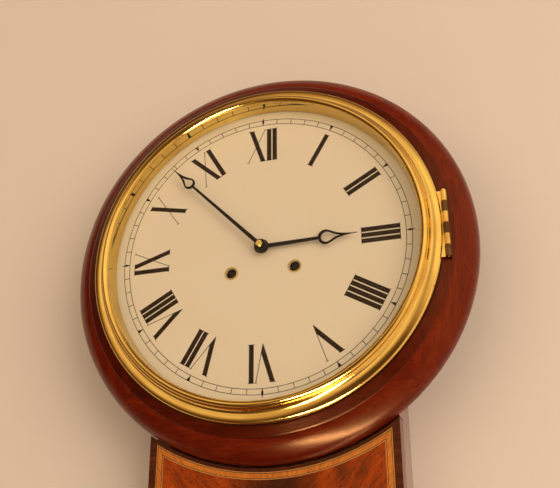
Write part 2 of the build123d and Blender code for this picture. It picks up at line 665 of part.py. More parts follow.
# --- Hands and motion work ------------------------------------------------------------------
CANNON_R = 3.0
PIPE_R = 4.4
CANNON = (-8.6, -6.5)
HOUR_WHEEL = (-6.0, -4.4)
HOUR_HAND = (3.5, 4.5)
MINUTE_HAND = (7.6, 8.6)
HOUR_ANGLE = 1.4         # the hour hand points this far above three o'clock
MINUTE_ANGLE = 133.8

with BuildPart() as centre_arbor:
    add(disc(CENTRE, CENTRE_R, BACK_PLATE[1] + 0.2, MINUTE_HAND[1]))
    add(disc(CENTRE, PIVOT_R, BACK_PLATE[0], BACK_PLATE[1] + 0.2))
    add(disc(CENTRE, 1.2, MINUTE_HAND[1], 13.0))
    add(pinion(CENTRE, -49.9, -47.3, CENTRE_PINION, GREAT_MODULE,
               mesh_phase(SECOND_TEETH, CENTRE_PINION, bearing(SECOND, CENTRE))))
    add(wheel(CENTRE, -15.5, -13.7, CENTRE_TEETH, TRAIN_MODULE))
finish(centre_arbor, "centre_arbor")

with BuildPart() as cannon_pinion:
    add(disc(CENTRE, CANNON_R, CANNON[0], MINUTE_HAND[0]))
    add(pinion(CENTRE, *CANNON, CANNON_TEETH, TRAIN_MODULE, 0))
    add(disc(CENTRE, CENTRE_R, CANNON[0], MINUTE_HAND[0]), mode=Mode.SUBTRACT)
finish(cannon_pinion, "cannon_pinion")

with BuildPart() as minute_wheel:
    add(wheel(MINUTE, -8.4, -6.7, MINUTE_TEETH, TRAIN_MODULE,
              mesh_phase(CANNON_TEETH, MINUTE_TEETH, bearing(CENTRE, MINUTE))))
    add(pinion(MINUTE, -6.7, -4.2, MINUTE_PINION, HOUR_MODULE, 0))
    add(disc(MINUTE, STUD_R + FIT, -9, -4), mode=Mode.SUBTRACT)
finish(minute_wheel, "minute_wheel")

with BuildPart() as hour_wheel:
    add(wheel(CENTRE, *HOUR_WHEEL, HOUR_TEETH, HOUR_MODULE,
              mesh_phase(MINUTE_PINION, HOUR_TEETH, bearing(MINUTE, CENTRE)), hub=6.5))
    add(disc(CENTRE, PIPE_R, HOUR_WHEEL[0], HOUR_HAND[1] + 0.4))
    add(disc(CENTRE, CANNON_R + FIT, HOUR_WHEEL[0], HOUR_HAND[1] + 1), mode=Mode.SUBTRACT)
finish(hour_wheel, "hour_wheel")


def snail_points(steps=12, low=6.8, high=12.5):
    """The twelve steps that set how many hours are struck."""
    points = []
    for step in range(steps):
        radius = high - (high - low) * step / (steps - 1)
        for part in (0, 0.5, 1):
            angle = radians((step + part) * 360 / steps)
            points.append((radius * cos(angle), radius * sin(angle)))
    return points


with BuildPart() as strike_snail:
    with BuildSketch(facing(HOUR_WHEEL[1])):
        Polygon(*snail_points(), align=None)
        Circle(PIPE_R, mode=Mode.SUBTRACT)
    extrude(amount=1.2)
finish(strike_snail, "strike_snail")


def teardrop(middle, radius, tip, waist, waist_half):
    """A loop that is round towards the hub and drawn out to a point."""
    open_angle = 25
    start = (radius * cos(radians(open_angle)), middle + radius * sin(radians(open_angle)))
    lead = (start[0] - 0.8 * radius * sin(radians(open_angle)),
            start[1] + 0.8 * radius * cos(radians(open_angle)))
    with BuildSketch() as face:
        with BuildLine():
            CenterArc((0, middle), radius, 180 - open_angle, 180 + 2 * open_angle)
            Bezier(start, lead, (waist_half, waist), (0, tip))
            Bezier((-start[0], start[1]), (-lead[0], lead[1]), (-waist_half, waist), (0, tip))
        make_face()
    return face.sketch


def hand(place, angle, hub, bore, shank, outer, inner):
    """A hand: a hub, a tapering shank and an open teardrop before the point."""
    with BuildSketch() as face:
        with BuildLine():
            Polyline((-shank[0], 0), (shank[0], 0), (shank[1], shank[2]), (-shank[1], shank[2]),
                     (-shank[0], 0))
        make_face()
        add(teardrop(*outer))
        add(teardrop(*inner), mode=Mode.SUBTRACT)
        Circle(hub)
        Circle(bore, mode=Mode.SUBTRACT)
    turned_face = Rot(0, 0, angle - 90) * face.sketch
    return extrude(facing(place[0]) * turned_face, amount=place[1] - place[0], mode=Mode.PRIVATE)


with BuildPart() as hour_hand:
    add(hand(HOUR_HAND, HOUR_ANGLE, 5.9, PIPE_R, (1.9, 1.25, 55.0),
             (61.2, 7.1, 90.6, 72.0, 0.4), (62.0, 5.3, 76.5, 69.5, 1.2)))
finish(hour_hand, "hour_hand")

with BuildPart() as minute_hand:
    add(hand(MINUTE_HAND, MINUTE_ANGLE, 5.8, CENTRE_R, (1.9, 1.0, 101.0),
             (105.4, 5.6, 133.6, 116.5, 0.45), (106.0, 4.1, 117.0, 112.0, 0.6)))
    add(turned([(CENTRE_R, MINUTE_HAND[1]), (5.8, MINUTE_HAND[1]), (5.2, MINUTE_HAND[1] + 1.2),
                (3.6, MINUTE_HAND[1] + 2.0), (CENTRE_R, MINUTE_HAND[1] + 2.2)]))
finish(minute_hand, "minute_hand")

with BuildPart() as hand_nut:
    add(turned([(1.2, MINUTE_HAND[1] + 2.2), (3.3, MINUTE_HAND[1] + 2.2),
                (3.3, MINUTE_HAND[1] + 3.6), (2.6, MINUTE_HAND[1] + 4.4), (1.2, 13.0)]))
finish(hand_nut, "hand_nut")

# --- Going train ------------------------------------------------------------------------------
RIM = (-43.5, -40.5)     # teeth of the two barrels
RIM_PINION = (-43.9, -40.1)
DRUM_FRONT = -18.0
DRUM_R = 22.6
DRUM_WALL = 1.6
SPRING_R = 20.4
RATCHET = (-9.0, -7.6)
SQUARE_TIP = -1.8


def barrel(place, phase):
    """A spring barrel with its toothed rim and cap."""
    drum = disc(place, DRUM_R, RIM[0], DRUM_FRONT)
    drum = drum - disc(place, DRUM_R - DRUM_WALL, RIM[1], DRUM_FRONT - 2)
    drum = drum + wheel(place, *RIM, GREAT_TEETH, GREAT_MODULE, phase, spokes=0)
    return drum - disc(place, WINDER_R + FIT, RIM[0] - 1, DRUM_FRONT + 1)


def mainspring(place):
    """The wound spring, as one ring of its full width."""
    ring = disc(place, SPRING_R, RIM[1] + 0.5, DRUM_FRONT - 2.5)
    return ring - disc(place, 9.0, RIM[1], DRUM_FRONT)


def winder(place):
    """A barrel arbor with its ratchet wheel and winding square."""
    shaft = disc(place, WINDER_R, BACK_PLATE[0], RATCHET[1])
    with BuildSketch(facing(RATCHET[1], *place)) as square:
        Rectangle(4.6, 4.6)
    shaft = shaft + extrude(square.sketch, amount=SQUARE_TIP - RATCHET[1], mode=Mode.PRIVATE)
    points = []
    for tooth in range(24):
        for radius, turn in ((7.0, 0.05), (8.4, 0.0)):
            angle = radians((tooth + turn) * 15)
            points.append((radius * cos(angle), radius * sin(angle)))
    with BuildSketch(facing(RATCHET[0], *place)) as ratchet:
        Polygon(*points, align=None)
    return shaft + extrude(ratchet.sketch, amount=RATCHET[1] - RATCHET[0], mode=Mode.PRIVATE)


with BuildPart() as going_barrel:
    add(barrel(GOING, 0))
finish(going_barrel, "going_barrel")

with BuildPart() as going_mainspring:
    add(mainspring(GOING))
finish(going_mainspring, "going_mainspring")

with BuildPart() as going_winder:
    add(winder(GOING))
finish(going_winder, "going_winder")

with BuildPart() as second_wheel:
    add(arbor(SECOND))
    add(wheel(SECOND, -49.5, -47.7, SECOND_TEETH, GREAT_MODULE))
    add(pinion(SECOND, *RIM_PINION, GREAT_PINION, GREAT_MODULE,
               mesh_phase(GREAT_TEETH, GREAT_PINION, bearing(GOING, SECOND))))
finish(second_wheel, "second_wheel")

with BuildPart() as third_wheel:
    add(arbor(THIRD))
    add(pinion(THIRD, -16.2, -13.0, THIRD_PINION, TRAIN_MODULE,
               mesh_phase(CENTRE_TEETH, THIRD_PINION, bearing(CENTRE, THIRD))))
    add(wheel(THIRD, -30.0, -28.4, THIRD_TEETH, TRAIN_MODULE))
finish(third_wheel, "third_wheel")

ESCAPE_PLANE = (-38.0, -36.6)


def escape_points():
    """Thirty raked teeth."""
    points = []
    for tooth in range(ESCAPE_TEETH):
        for radius, turn in ((ESCAPE_R - 3.0, -0.28), (ESCAPE_R, 0.0), (ESCAPE_R, 0.05),
                             (ESCAPE_R - 3.0, 0.16)):
            angle = radians((tooth + turn) * 360 / ESCAPE_TEETH)
            points.append((radius * cos(angle), radius * sin(angle)))
    return points


with BuildPart() as escape_wheel:
    add(arbor(ESCAPE))
    add(pinion(ESCAPE, -30.7, -27.6, ESCAPE_PINION, TRAIN_MODULE,
               mesh_phase(THIRD_TEETH, ESCAPE_PINION, bearing(THIRD, ESCAPE))))
    with BuildSketch(facing(ESCAPE_PLANE[0], *ESCAPE)):
        Polygon(*escape_points(), align=None)
        Circle(ESCAPE_R - 4.6, mode=Mode.SUBTRACT)
        Circle(3.4)
        with PolarLocations(ESCAPE_R / 2 - 0.6, 4):
            Rectangle(ESCAPE_R - 6.6, 1.4)
    extrude(amount=ESCAPE_PLANE[1] - ESCAPE_PLANE[0])
finish(escape_wheel, "escape_wheel")

# --- Escapement and pendulum ----------------------------------------------------------------------
PALLET_REACH = 16.1      # from the escape arbor to the pallet tips, which stay just clear
CRUTCH = (-58.2, -57.0)
CRUTCH_Z = 12.0
PALLET_X = PALLET_REACH * cos(pi / 4)
PALLET_Z = ESCAPE[1] + PALLET_REACH * sin(pi / 4)

with BuildPart() as anchor:
    with BuildSketch(facing(ESCAPE_PLANE[0] - 0.2)):
        Polygon((-PALLET_X, PALLET_Z), (-PALLET_X - 2.6, PALLET_Z + 2.2), (-12.0, 52.6), (0, 57.6),
                (12.0, 52.6), (PALLET_X + 2.6, PALLET_Z + 2.2), (PALLET_X, PALLET_Z),
                (9.2, 49.6), (0, 52.0), (-9.2, 49.6), align=None)
    extrude(amount=1.8)
    add(disc(PALLETS, ARBOR_R, CRUTCH[0], FRONT_PLATE[0] - 0.2))
    add(disc(PALLETS, PIVOT_R, FRONT_PLATE[0] - 0.2, FRONT_PLATE[1]))
    add(disc(PALLETS, 3.0, *CRUTCH))
    add(block(-1.8, 1.8, CRUTCH_Z - 2, PALLETS[1], *CRUTCH))
    add(disc((0, CRUTCH_Z), 0.9, PENDULUM_F - 2, CRUTCH[0]))
finish(anchor, "anchor")

CHOPS_FOOT = PALLETS[1] + 0.3

with BuildPart() as suspension_cock:
    add(block(-16, 16, 58.2, 61.2, -66.0, BACK_PLATE[0]))
    add(block(-16, 16, 61.2, 66.0, -56.0, BACK_PLATE[0]))
    add(block(-4, 4, CHOPS_FOOT, 58.2, PENDULUM_F - 2, PENDULUM_F + 2))
finish(suspension_cock, "suspension_cock")

SPRING_FOOT = PALLETS[1] - 18.0

with BuildPart() as suspension_spring:
    add(block(-2.5, 2.5, SPRING_FOOT, PALLETS[1], PENDULUM_F - 0.1, PENDULUM_F + 0.1))
finish(suspension_spring, "suspension_spring")

ROD_R = 1.8
ROD_FOOT = BOB_Z - BOB_R - 18.0
NUT_Z = BOB_Z - BOB_R - 1.0

with BuildPart() as pendulum_rod:
    add(block(-4, 4, SPRING_FOOT - 8, SPRING_FOOT, PENDULUM_F - 2.2, PENDULUM_F + 2.2))
    add(upright(0, PENDULUM_F, ROD_R, ROD_FOOT, SPRING_FOOT - 8))
    add(block(-4, 4, CRUTCH_Z - 7, CRUTCH_Z + 7, PENDULUM_F - 2.2, PENDULUM_F + 2.2))
    add(block(-1.1, 1.1, CRUTCH_Z - 5, CRUTCH_Z + 5, PENDULUM_F - 3, PENDULUM_F + 3),
        mode=Mode.SUBTRACT)
finish(pendulum_rod, "pendulum_rod")

with BuildPart() as pendulum_bob:
    with BuildSketch(turning(0, BOB_Z)):
        with BuildLine():
            ThreePointArc((0, PENDULUM_F - BOB_HALF), (BOB_R * 0.6, PENDULUM_F - BOB_HALF * 0.62),
                          (BOB_R, PENDULUM_F - 0.8))
            Line((BOB_R, PENDULUM_F - 0.8), (BOB_R, PENDULUM_F + 0.8))
            ThreePointArc((BOB_R, PENDULUM_F + 0.8), (BOB_R * 0.6, PENDULUM_F + BOB_HALF * 0.62),
                          (0, PENDULUM_F + BOB_HALF))
            Line((0, PENDULUM_F + BOB_HALF), (0, PENDULUM_F - BOB_HALF))
        make_face()
    revolve(axis=spindle(0, BOB_Z))
    add(upright(0, PENDULUM_F, ROD_R, BOB_Z - BOB_R - 1, BOB_Z + BOB_R + 1), mode=Mode.SUBTRACT)
finish(pendulum_bob, "pendulum_bob")

with BuildPart() as rating_nut:
    add(upright(0, PENDULUM_F, 5.5, NUT_Z - 5, NUT_Z))
    add(upright(0, PENDULUM_F, 3.6, NUT_Z - 8, NUT_Z - 5))
    add(upright(0, PENDULUM_F, ROD_R, NUT_Z - 9, NUT_Z + 1), mode=Mode.SUBTRACT)
finish(rating_nut, "rating_nut")

# --- Striking train -------------------------------------------------------------------------------
PIN_WHEEL = (-49.5, -47.7)
PIN_COUNT = 8
PIN_CIRCLE = 14.0

with BuildPart() as strike_barrel:
    add(barrel(STRIKE, 0))
finish(strike_barrel, "strike_barrel")

with BuildPart() as strike_mainspring:
    add(mainspring(STRIKE))
finish(strike_mainspring, "strike_mainspring")

with BuildPart() as strike_winder:
    add(winder(STRIKE))
finish(strike_winder, "strike_winder")

with BuildPart() as pin_wheel:
    add(arbor(PINS))
    add(wheel(PINS, *PIN_WHEEL, PIN_TEETH, TRAIN_MODULE, spokes=0))
    add(pinion(PINS, *RIM_PINION, GREAT_PINION, GREAT_MODULE,
               mesh_phase(GREAT_TEETH, GREAT_PINION, bearing(STRIKE, PINS))))
    for turn in range(PIN_COUNT):
        add(disc(polar(PINS, PIN_CIRCLE, turn * 360 / PIN_COUNT), 0.8, PIN_WHEEL[1], -44.8))
finish(pin_wheel, "pin_wheel")

with BuildPart() as locking_wheel:
    add(arbor(LOCKING))
    add(pinion(LOCKING, -49.9, -47.3, LOCKING_PINION, TRAIN_MODULE,
               mesh_phase(PIN_TEETH, LOCKING_PINION, bearing(PINS, LOCKING))))
    add(wheel(LOCKING, -30.0, -28.4, LOCKING_TEETH, FINE_MODULE))
finish(locking_wheel, "locking_wheel")

with BuildPart() as fly:
    add(arbor(FLY, 1.0))
    add(pinion(FLY, -30.7, -27.6, FLY_PINION, FINE_MODULE,
               mesh_phase(LOCKING_TEETH, FLY_PINION, bearing(LOCKING, FLY))))
    add(block(FLY[0] - 9, FLY[0] + 9, FLY[1] - 0.5, FLY[1] + 0.5, -26.0, -14.0))
finish(fly, "fly")

HAMMER_PLANE = (-46.5, -44.0)
HEAD_SPOT = (BELL[0] - BELL_R - 4.0, BELL[1])
TAIL = polar(HAMMER, 6.2, bearing(HAMMER, PINS))

with BuildPart() as hammer:
    add(arbor(HAMMER))
    with BuildSketch(facing(HAMMER_PLANE[0])):
        for end in (HEAD_SPOT, TAIL):
            across = bearing(HAMMER, end) + 90
            Polygon(polar(HAMMER, 1.4, across), polar(HAMMER, -1.4, across),
                    polar(end, -1.0, across), polar(end, 1.0, across), align=None)
        with Locations(HAMMER):
            Circle(3.2)
        with Locations(HEAD_SPOT):
            Circle(3.6)
    extrude(amount=HAMMER_PLANE[1] - HAMMER_PLANE[0])
finish(hammer, "hammer")

BELL_MOUTH = -48.0
BELL_TOP = -34.0
BELL_WALL = 1.6
STAND_F = (-50.5, -48.6)

with BuildPart() as bell:
    with BuildSketch(turning(*BELL)):
        with BuildLine():
            Line((BELL_R, BELL_MOUTH), (BELL_R - 1.0, BELL_MOUTH + 6))
            ThreePointArc((BELL_R - 1.0, BELL_MOUTH + 6), (16.5, BELL_TOP - 2.6), (2.2, BELL_TOP))
            Line((2.2, BELL_TOP), (2.2, BELL_TOP - BELL_WALL))
            ThreePointArc((2.2, BELL_TOP - BELL_WALL), (15.4, BELL_TOP - 4.2),
                          (BELL_R - 2.6, BELL_MOUTH + 6))
            Line((BELL_R - 2.6, BELL_MOUTH + 6), (BELL_R - BELL_WALL, BELL_MOUTH))
            Line((BELL_R - BELL_WALL, BELL_MOUTH), (BELL_R, BELL_MOUTH))
        make_face()
    revolve(axis=spindle(*BELL))
finish(bell, "bell")

with BuildPart() as bell_stand:
    add(block(BELL[0] - 5, BELL[0] + 5, 51.0, BELL[1] + 6, *STAND_F))
    add(disc(BELL, 2.2, STAND_F[1], BELL_TOP + 2.6))
    add(disc(BELL, 4.0, BELL_TOP + 0.3, BELL_TOP + 2.6))
finish(bell_stand, "bell_stand")
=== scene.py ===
"""A round-dial wall clock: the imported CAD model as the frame, with its finished surfaces."""

import math

import bmesh
import bpy
from mathutils import Matrix, Vector


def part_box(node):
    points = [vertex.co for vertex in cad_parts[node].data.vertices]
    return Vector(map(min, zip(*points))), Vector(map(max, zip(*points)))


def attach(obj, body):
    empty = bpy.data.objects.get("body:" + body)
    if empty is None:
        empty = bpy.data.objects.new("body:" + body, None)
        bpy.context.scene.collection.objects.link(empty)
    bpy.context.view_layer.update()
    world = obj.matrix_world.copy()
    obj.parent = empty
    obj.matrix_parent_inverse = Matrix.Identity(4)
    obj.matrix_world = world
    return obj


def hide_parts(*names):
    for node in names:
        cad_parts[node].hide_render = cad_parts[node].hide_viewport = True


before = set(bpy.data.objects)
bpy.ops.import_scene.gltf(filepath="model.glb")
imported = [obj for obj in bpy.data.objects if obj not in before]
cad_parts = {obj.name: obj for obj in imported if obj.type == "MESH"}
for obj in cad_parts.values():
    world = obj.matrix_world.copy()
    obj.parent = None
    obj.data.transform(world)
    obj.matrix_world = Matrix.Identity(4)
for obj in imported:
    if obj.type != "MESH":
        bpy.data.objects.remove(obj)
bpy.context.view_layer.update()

# --- Places ---------------------------------------------------------------------------------
# Shapes below are in millimetres, as (x, z) from the middle of the dial and f, the distance in
# front of its face. point() turns them into metres in the shared frame.
MM = 0.001
DIAL_LOW, DIAL_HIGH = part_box("dial_plate")
DIAL_X = (DIAL_LOW[0] + DIAL_HIGH[0]) / 2
DIAL_FACE = DIAL_LOW[1]
DIAL_Z = (DIAL_LOW[2] + DIAL_HIGH[2]) / 2
WALL_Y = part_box("backboard")[1][1]
DOOR_FACE = (DIAL_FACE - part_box("trunk_door")[0][1]) / MM
GLASS_LOW, GLASS_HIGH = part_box("box_glass")


def point(x, z, f):
    """A place in the shared frame, in metres."""
    return Vector((DIAL_X + x * MM, DIAL_FACE - f * MM, DIAL_Z + z * MM))


# --- Mesh helpers ------------------------------------------------------------------------------
def new_object(name, mesh, material, body, sharp=35):
    """Put a mesh in the scene as a piece on a body."""
    mesh.shade_smooth()
    mesh.set_sharp_from_angle(angle=math.radians(sharp))
    mesh.materials.append(material)
    piece = bpy.data.objects.new(name, mesh)
    bpy.context.scene.collection.objects.link(piece)
    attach(piece, body)
    return piece


def from_bmesh(name, bm):
    """A mesh from a bmesh, with its faces turned outwards."""
    bmesh.ops.recalc_face_normals(bm, faces=bm.faces)
    mesh = bpy.data.meshes.new(name)
    bm.to_mesh(mesh)
    bm.free()
    return mesh


def arc(start, through, end, steps):
    """Points along the circle through three points, without the first."""
    (ax, ay), (bx, by), (cx, cy) = start, through, end
    d = 2 * (ax * (by - cy) + bx * (cy - ay) + cx * (ay - by))
    a2, b2, c2 = ax * ax + ay * ay, bx * bx + by * by, cx * cx + cy * cy
    ux = (a2 * (by - cy) + b2 * (cy - ay) + c2 * (ay - by)) / d
    uy = (a2 * (cx - bx) + b2 * (ax - cx) + c2 * (bx - ax)) / d
    radius = math.hypot(ax - ux, ay - uy)
    first = math.atan2(ay - uy, ax - ux)
    turn = math.remainder(math.atan2(cy - uy, cx - ux) - first, math.tau)
    middle = math.remainder(math.atan2(by - uy, bx - ux) - first, math.tau)
    if turn * middle < 0 or abs(middle) > abs(turn):
        turn -= math.copysign(math.tau, turn)
    return [(ux + radius * math.cos(first + turn * i / steps),
             uy + radius * math.sin(first + turn * i / steps)) for i in range(1, steps + 1)]


def lathe(name, profile, segments):
    """A closed (radius, f) outline turned about the middle of the dial."""
    bm = bmesh.new()
    rings = []
    for i in range(segments):
        angle = math.tau * i / segments
        rings.append([bm.verts.new(point(r * math.cos(angle), r * math.sin(angle), f))
                      for r, f in profile])
    for i, ring in enumerate(rings):
        after = rings[(i + 1) % segments]
        for j in range(len(profile)):
            k = (j + 1) % len(profile)
            bm.faces.new((ring[j], ring[k], after[k], after[j]))
    return from_bmesh(name, bm)


def prism(bm, outline, behind, front):
    """A flat piece with an (x, z) outline, parallel to the dial."""
    lower = [bm.verts.new(point(x, z, behind)) for x, z in outline]
    upper = [bm.verts.new(point(x, z, front)) for x, z in outline]
    bm.faces.new(lower)
    bm.faces.new(upper)
    for i in range(len(outline)):
        j = (i + 1) % len(outline)
        bm.faces.new((lower[i], lower[j], upper[j], upper[i]))


def ring_prism(bm, inner, outer, behind, front, segments=360):
    """A flat ring about the middle of the dial."""
    loops = []
    for i in range(segments):
        c, s = math.cos(math.tau * i / segments), math.sin(math.tau * i / segments)
        loops.append([bm.verts.new(point(r * c, r * s, f))
                      for r, f in ((inner, behind), (outer, behind),
                                   (outer, front), (inner, front))])
    for i, loop in enumerate(loops):
        after = loops[(i + 1) % segments]
        for j in range(4):
            k = (j + 1) % 4
            bm.faces.new((loop[j], loop[k], after[k], after[j]))


# --- Node helpers --------------------------------------------------------------------------------
class Shade:
    """One material's node tree, with short ways to add what the finishes share."""

    def __init__(self, name):
        self.material = bpy.data.materials.new(name)
        self.material.use_nodes = True
        self.nodes = self.material.node_tree.nodes
        self.links = self.material.node_tree.links
        self.surface = self.nodes["Principled BSDF"]

    def add(self, kind, inputs=(), **settings):
        """A node with its settings, and its inputs set or linked by name or number."""
        node = self.nodes.new(kind)
        for key, value in settings.items():
            setattr(node, key, value)
        for key, value in dict(inputs).items():
            self.put(node.inputs[key], value)
        return node

    def put(self, socket, value):
        """Set a socket to a number or colour, or link another socket to it."""
        if isinstance(value, bpy.types.NodeSocket):
            self.links.new(value, socket)
        else:
            socket.default_value = value

    def stretch(self, vector, scale):
        """A vector scaled along each of its axes."""
        return self.add("ShaderNodeMapping", {"Vector": vector, "Scale": scale}).outputs["Vector"]

    def place(self, scale=(1, 1, 1)):
        """The piece's own coordinates, stretched."""
        return self.stretch(self.add("ShaderNodeTexCoord").outputs["Object"], scale)

    def noise(self, vector, scale=1.0, detail=4.0, rough=0.55, distortion=0.0):
        """Fractal noise from 0 to 1."""
        node = self.add("ShaderNodeTexNoise", {"Vector": vector, "Scale": scale, "Detail": detail,
                                               "Roughness": rough, "Distortion": distortion})
        return node.outputs["Fac"]

    def ramp(self, factor, stops):
        """Colours or greys at places from 0 to 1."""
        node = self.add("ShaderNodeValToRGB", {"Fac": factor})
        marks = node.color_ramp.elements
        while len(marks) < len(stops):
            marks.new(0.5)
        for mark, (where, colour) in zip(marks, stops):
            mark.position = where
            if isinstance(colour, float):
                colour = (colour,) * 3
            mark.color = (*colour, 1)
        return node.outputs["Color"]

    def mix(self, factor, first, second, blend="MIX"):
        """Two colours mixed."""
        node = self.add("ShaderNodeMix", data_type="RGBA", blend_type=blend)
        self.put(node.inputs["Factor"], factor)
        for socket, value in ((node.inputs[6], first), (node.inputs[7], second)):
            self.put(socket, (*value, 1) if isinstance(value, tuple) else value)
        return node.outputs[2]

    def math(self, operation, first, second=0.0, third=0.0):
        """One sum."""
        return self.add("ShaderNodeMath", {0: first, 1: second, 2: third},
                        operation=operation).outputs[0]

    def bump(self, height, strength, distance):
        """A small relief on the surface."""
        node = self.add("ShaderNodeBump", {"Height": height, "Strength": strength,
                                           "Distance": distance})
        self.put(self.surface.inputs["Normal"], node.outputs["Normal"])

    def finish(self, **sockets):
        """Set the shader's own sockets and give back the material."""
        for name, value in sockets.items():
            self.put(self.surface.inputs[name.replace("_", " ")], value)
        return self.material


# --- Finishes ------------------------------------------------------------------------------------
MAHOGANY = ((0.058, 0.0032, 0.0008), (0.160, 0.0100, 0.0016), (0.270, 0.027, 0.0040))
POLISH = (1.0, 0.58, 0.32, 1)    # shellac turns reflections on wood towards orange
WOOD_SPREAD = 0.2125             # how far the dark and light tones lie from the middle one


def wood(name, along, dark, middle, light, gloss=0.24, grain=1.0, stain=None, coat=0.0):
    """Polished hardwood. along gives a vector whose X runs with the grain."""
    shade = Shade(name)
    vector = along(shade)
    broad = shade.noise(shade.stretch(vector, (5, 42, 42)), 1.0, 5, 0.6, 1.2)
    figure = shade.noise(shade.stretch(vector, (16, 260 * grain, 260 * grain)), 1.0, 6, 0.62, 0.6)
    fibre = shade.noise(shade.stretch(vector, (60, 1500 * grain, 1500 * grain)), 1.0, 3, 0.6)
    blend = shade.math("MULTIPLY_ADD", figure, 0.5, shade.math("MULTIPLY", broad, 0.5))
    tone = shade.ramp(blend, [(0.5 - WOOD_SPREAD, dark), (0.5, middle),
                              (0.5 + WOOD_SPREAD, light)])
    pores = shade.ramp(fibre, [(0.36, 0.0), (0.47, 1.0)])
    tone = shade.mix(0.55, tone, shade.mix(pores, dark, tone))
    # stain may also paint shade into the tone: the surround's adds a painted shadow at the bezel.
    if stain:
        tone = stain(shade, tone)
    shade.bump(shade.math("MULTIPLY_ADD", pores, 0.4, broad), 0.10, 0.0004)
    dust = shade.noise(shade.place((9, 9, 9)), 1.0, 4, 0.6)
    rough = shade.ramp(dust, [(0.3, gloss * 0.75), (0.7, gloss * 1.5)])
    return shade.finish(Base_Color=tone, Roughness=rough, IOR=1.40, Specular_Tint=POLISH,
                        Coat_Weight=coat, Coat_Roughness=0.1)


def grain_x(shade):
    """Grain from side to side."""
    return shade.place()


def grain_z(shade):
    """Grain upwards."""
    split = shade.add("ShaderNodeSeparateXYZ", {0: shade.place()})
    return shade.add("ShaderNodeCombineXYZ", {0: split.outputs[2], 1: split.outputs[0],
                                              2: split.outputs[1]}).outputs[0]


def chosen(shade, mask, first, second):
    """The first vector where the mask is 0 and the second where it is 1."""
    node = shade.add("ShaderNodeMix", data_type="VECTOR")
    shade.put(node.inputs["Factor"], mask)
    shade.put(node.inputs[4], first)
    shade.put(node.inputs[5], second)
    return node.outputs[1]


def from_dial(shade):
    """Distances in millimetres from the middle of the dial's face: across, back and up."""
    node = shade.add("ShaderNodeVectorMath", {0: shade.place(), 1: (DIAL_X, DIAL_FACE, DIAL_Z)},
                     operation="SUBTRACT")
    scaled = shade.add("ShaderNodeVectorMath", {0: node.outputs[0]}, operation="SCALE")
    shade.put(scaled.inputs["Scale"], 1 / MM)
    return shade.add("ShaderNodeSeparateXYZ", {0: scaled.outputs[0]}).outputs


def ring_grain(shade):
    """The grain of a ring glued up from four straight-grained pieces."""
    across, _, up = from_dial(shade)
    upright = shade.math("GREATER_THAN", shade.math("ABSOLUTE", across),
                         shade.math("ABSOLUTE", up))
    return chosen(shade, upright, grain_x(shade), grain_z(shade))


REBATE = 3               # how far the glass of the box door reaches under its frame


def frame_grain(shade):
    """The grain of a door frame: its stiles stand and its rails lie."""
    across = from_dial(shade)[0]
    opening = (GLASS_HIGH[0] - GLASS_LOW[0]) / 2 / MM - REBATE
    stile = shade.math("GREATER_THAN", shade.math("ABSOLUTE", across), opening)
    return chosen(shade, stile, grain_x(shade), grain_z(shade))


def radius_of(shade, across, up):
    """Distance from the axis of the dial."""
    squares = shade.math("MULTIPLY_ADD", across, across, shade.math("MULTIPLY", up, up))
    return shade.math("SQRT", squares)


# --- Veneers of the trunk door -------------------------------------------------------------------
# The inlaid band: half width, radius and foot of its outer edge, then its own width and depth.
BAND_SIDE = 107.5
BAND_ARC = 201.5
BAND_FOOT = -475.7
BAND_WIDTH = 6.6
BAND_DEPTH = 0.8
VENEER = 0.6             # thickness of the figured veneer on the door's core


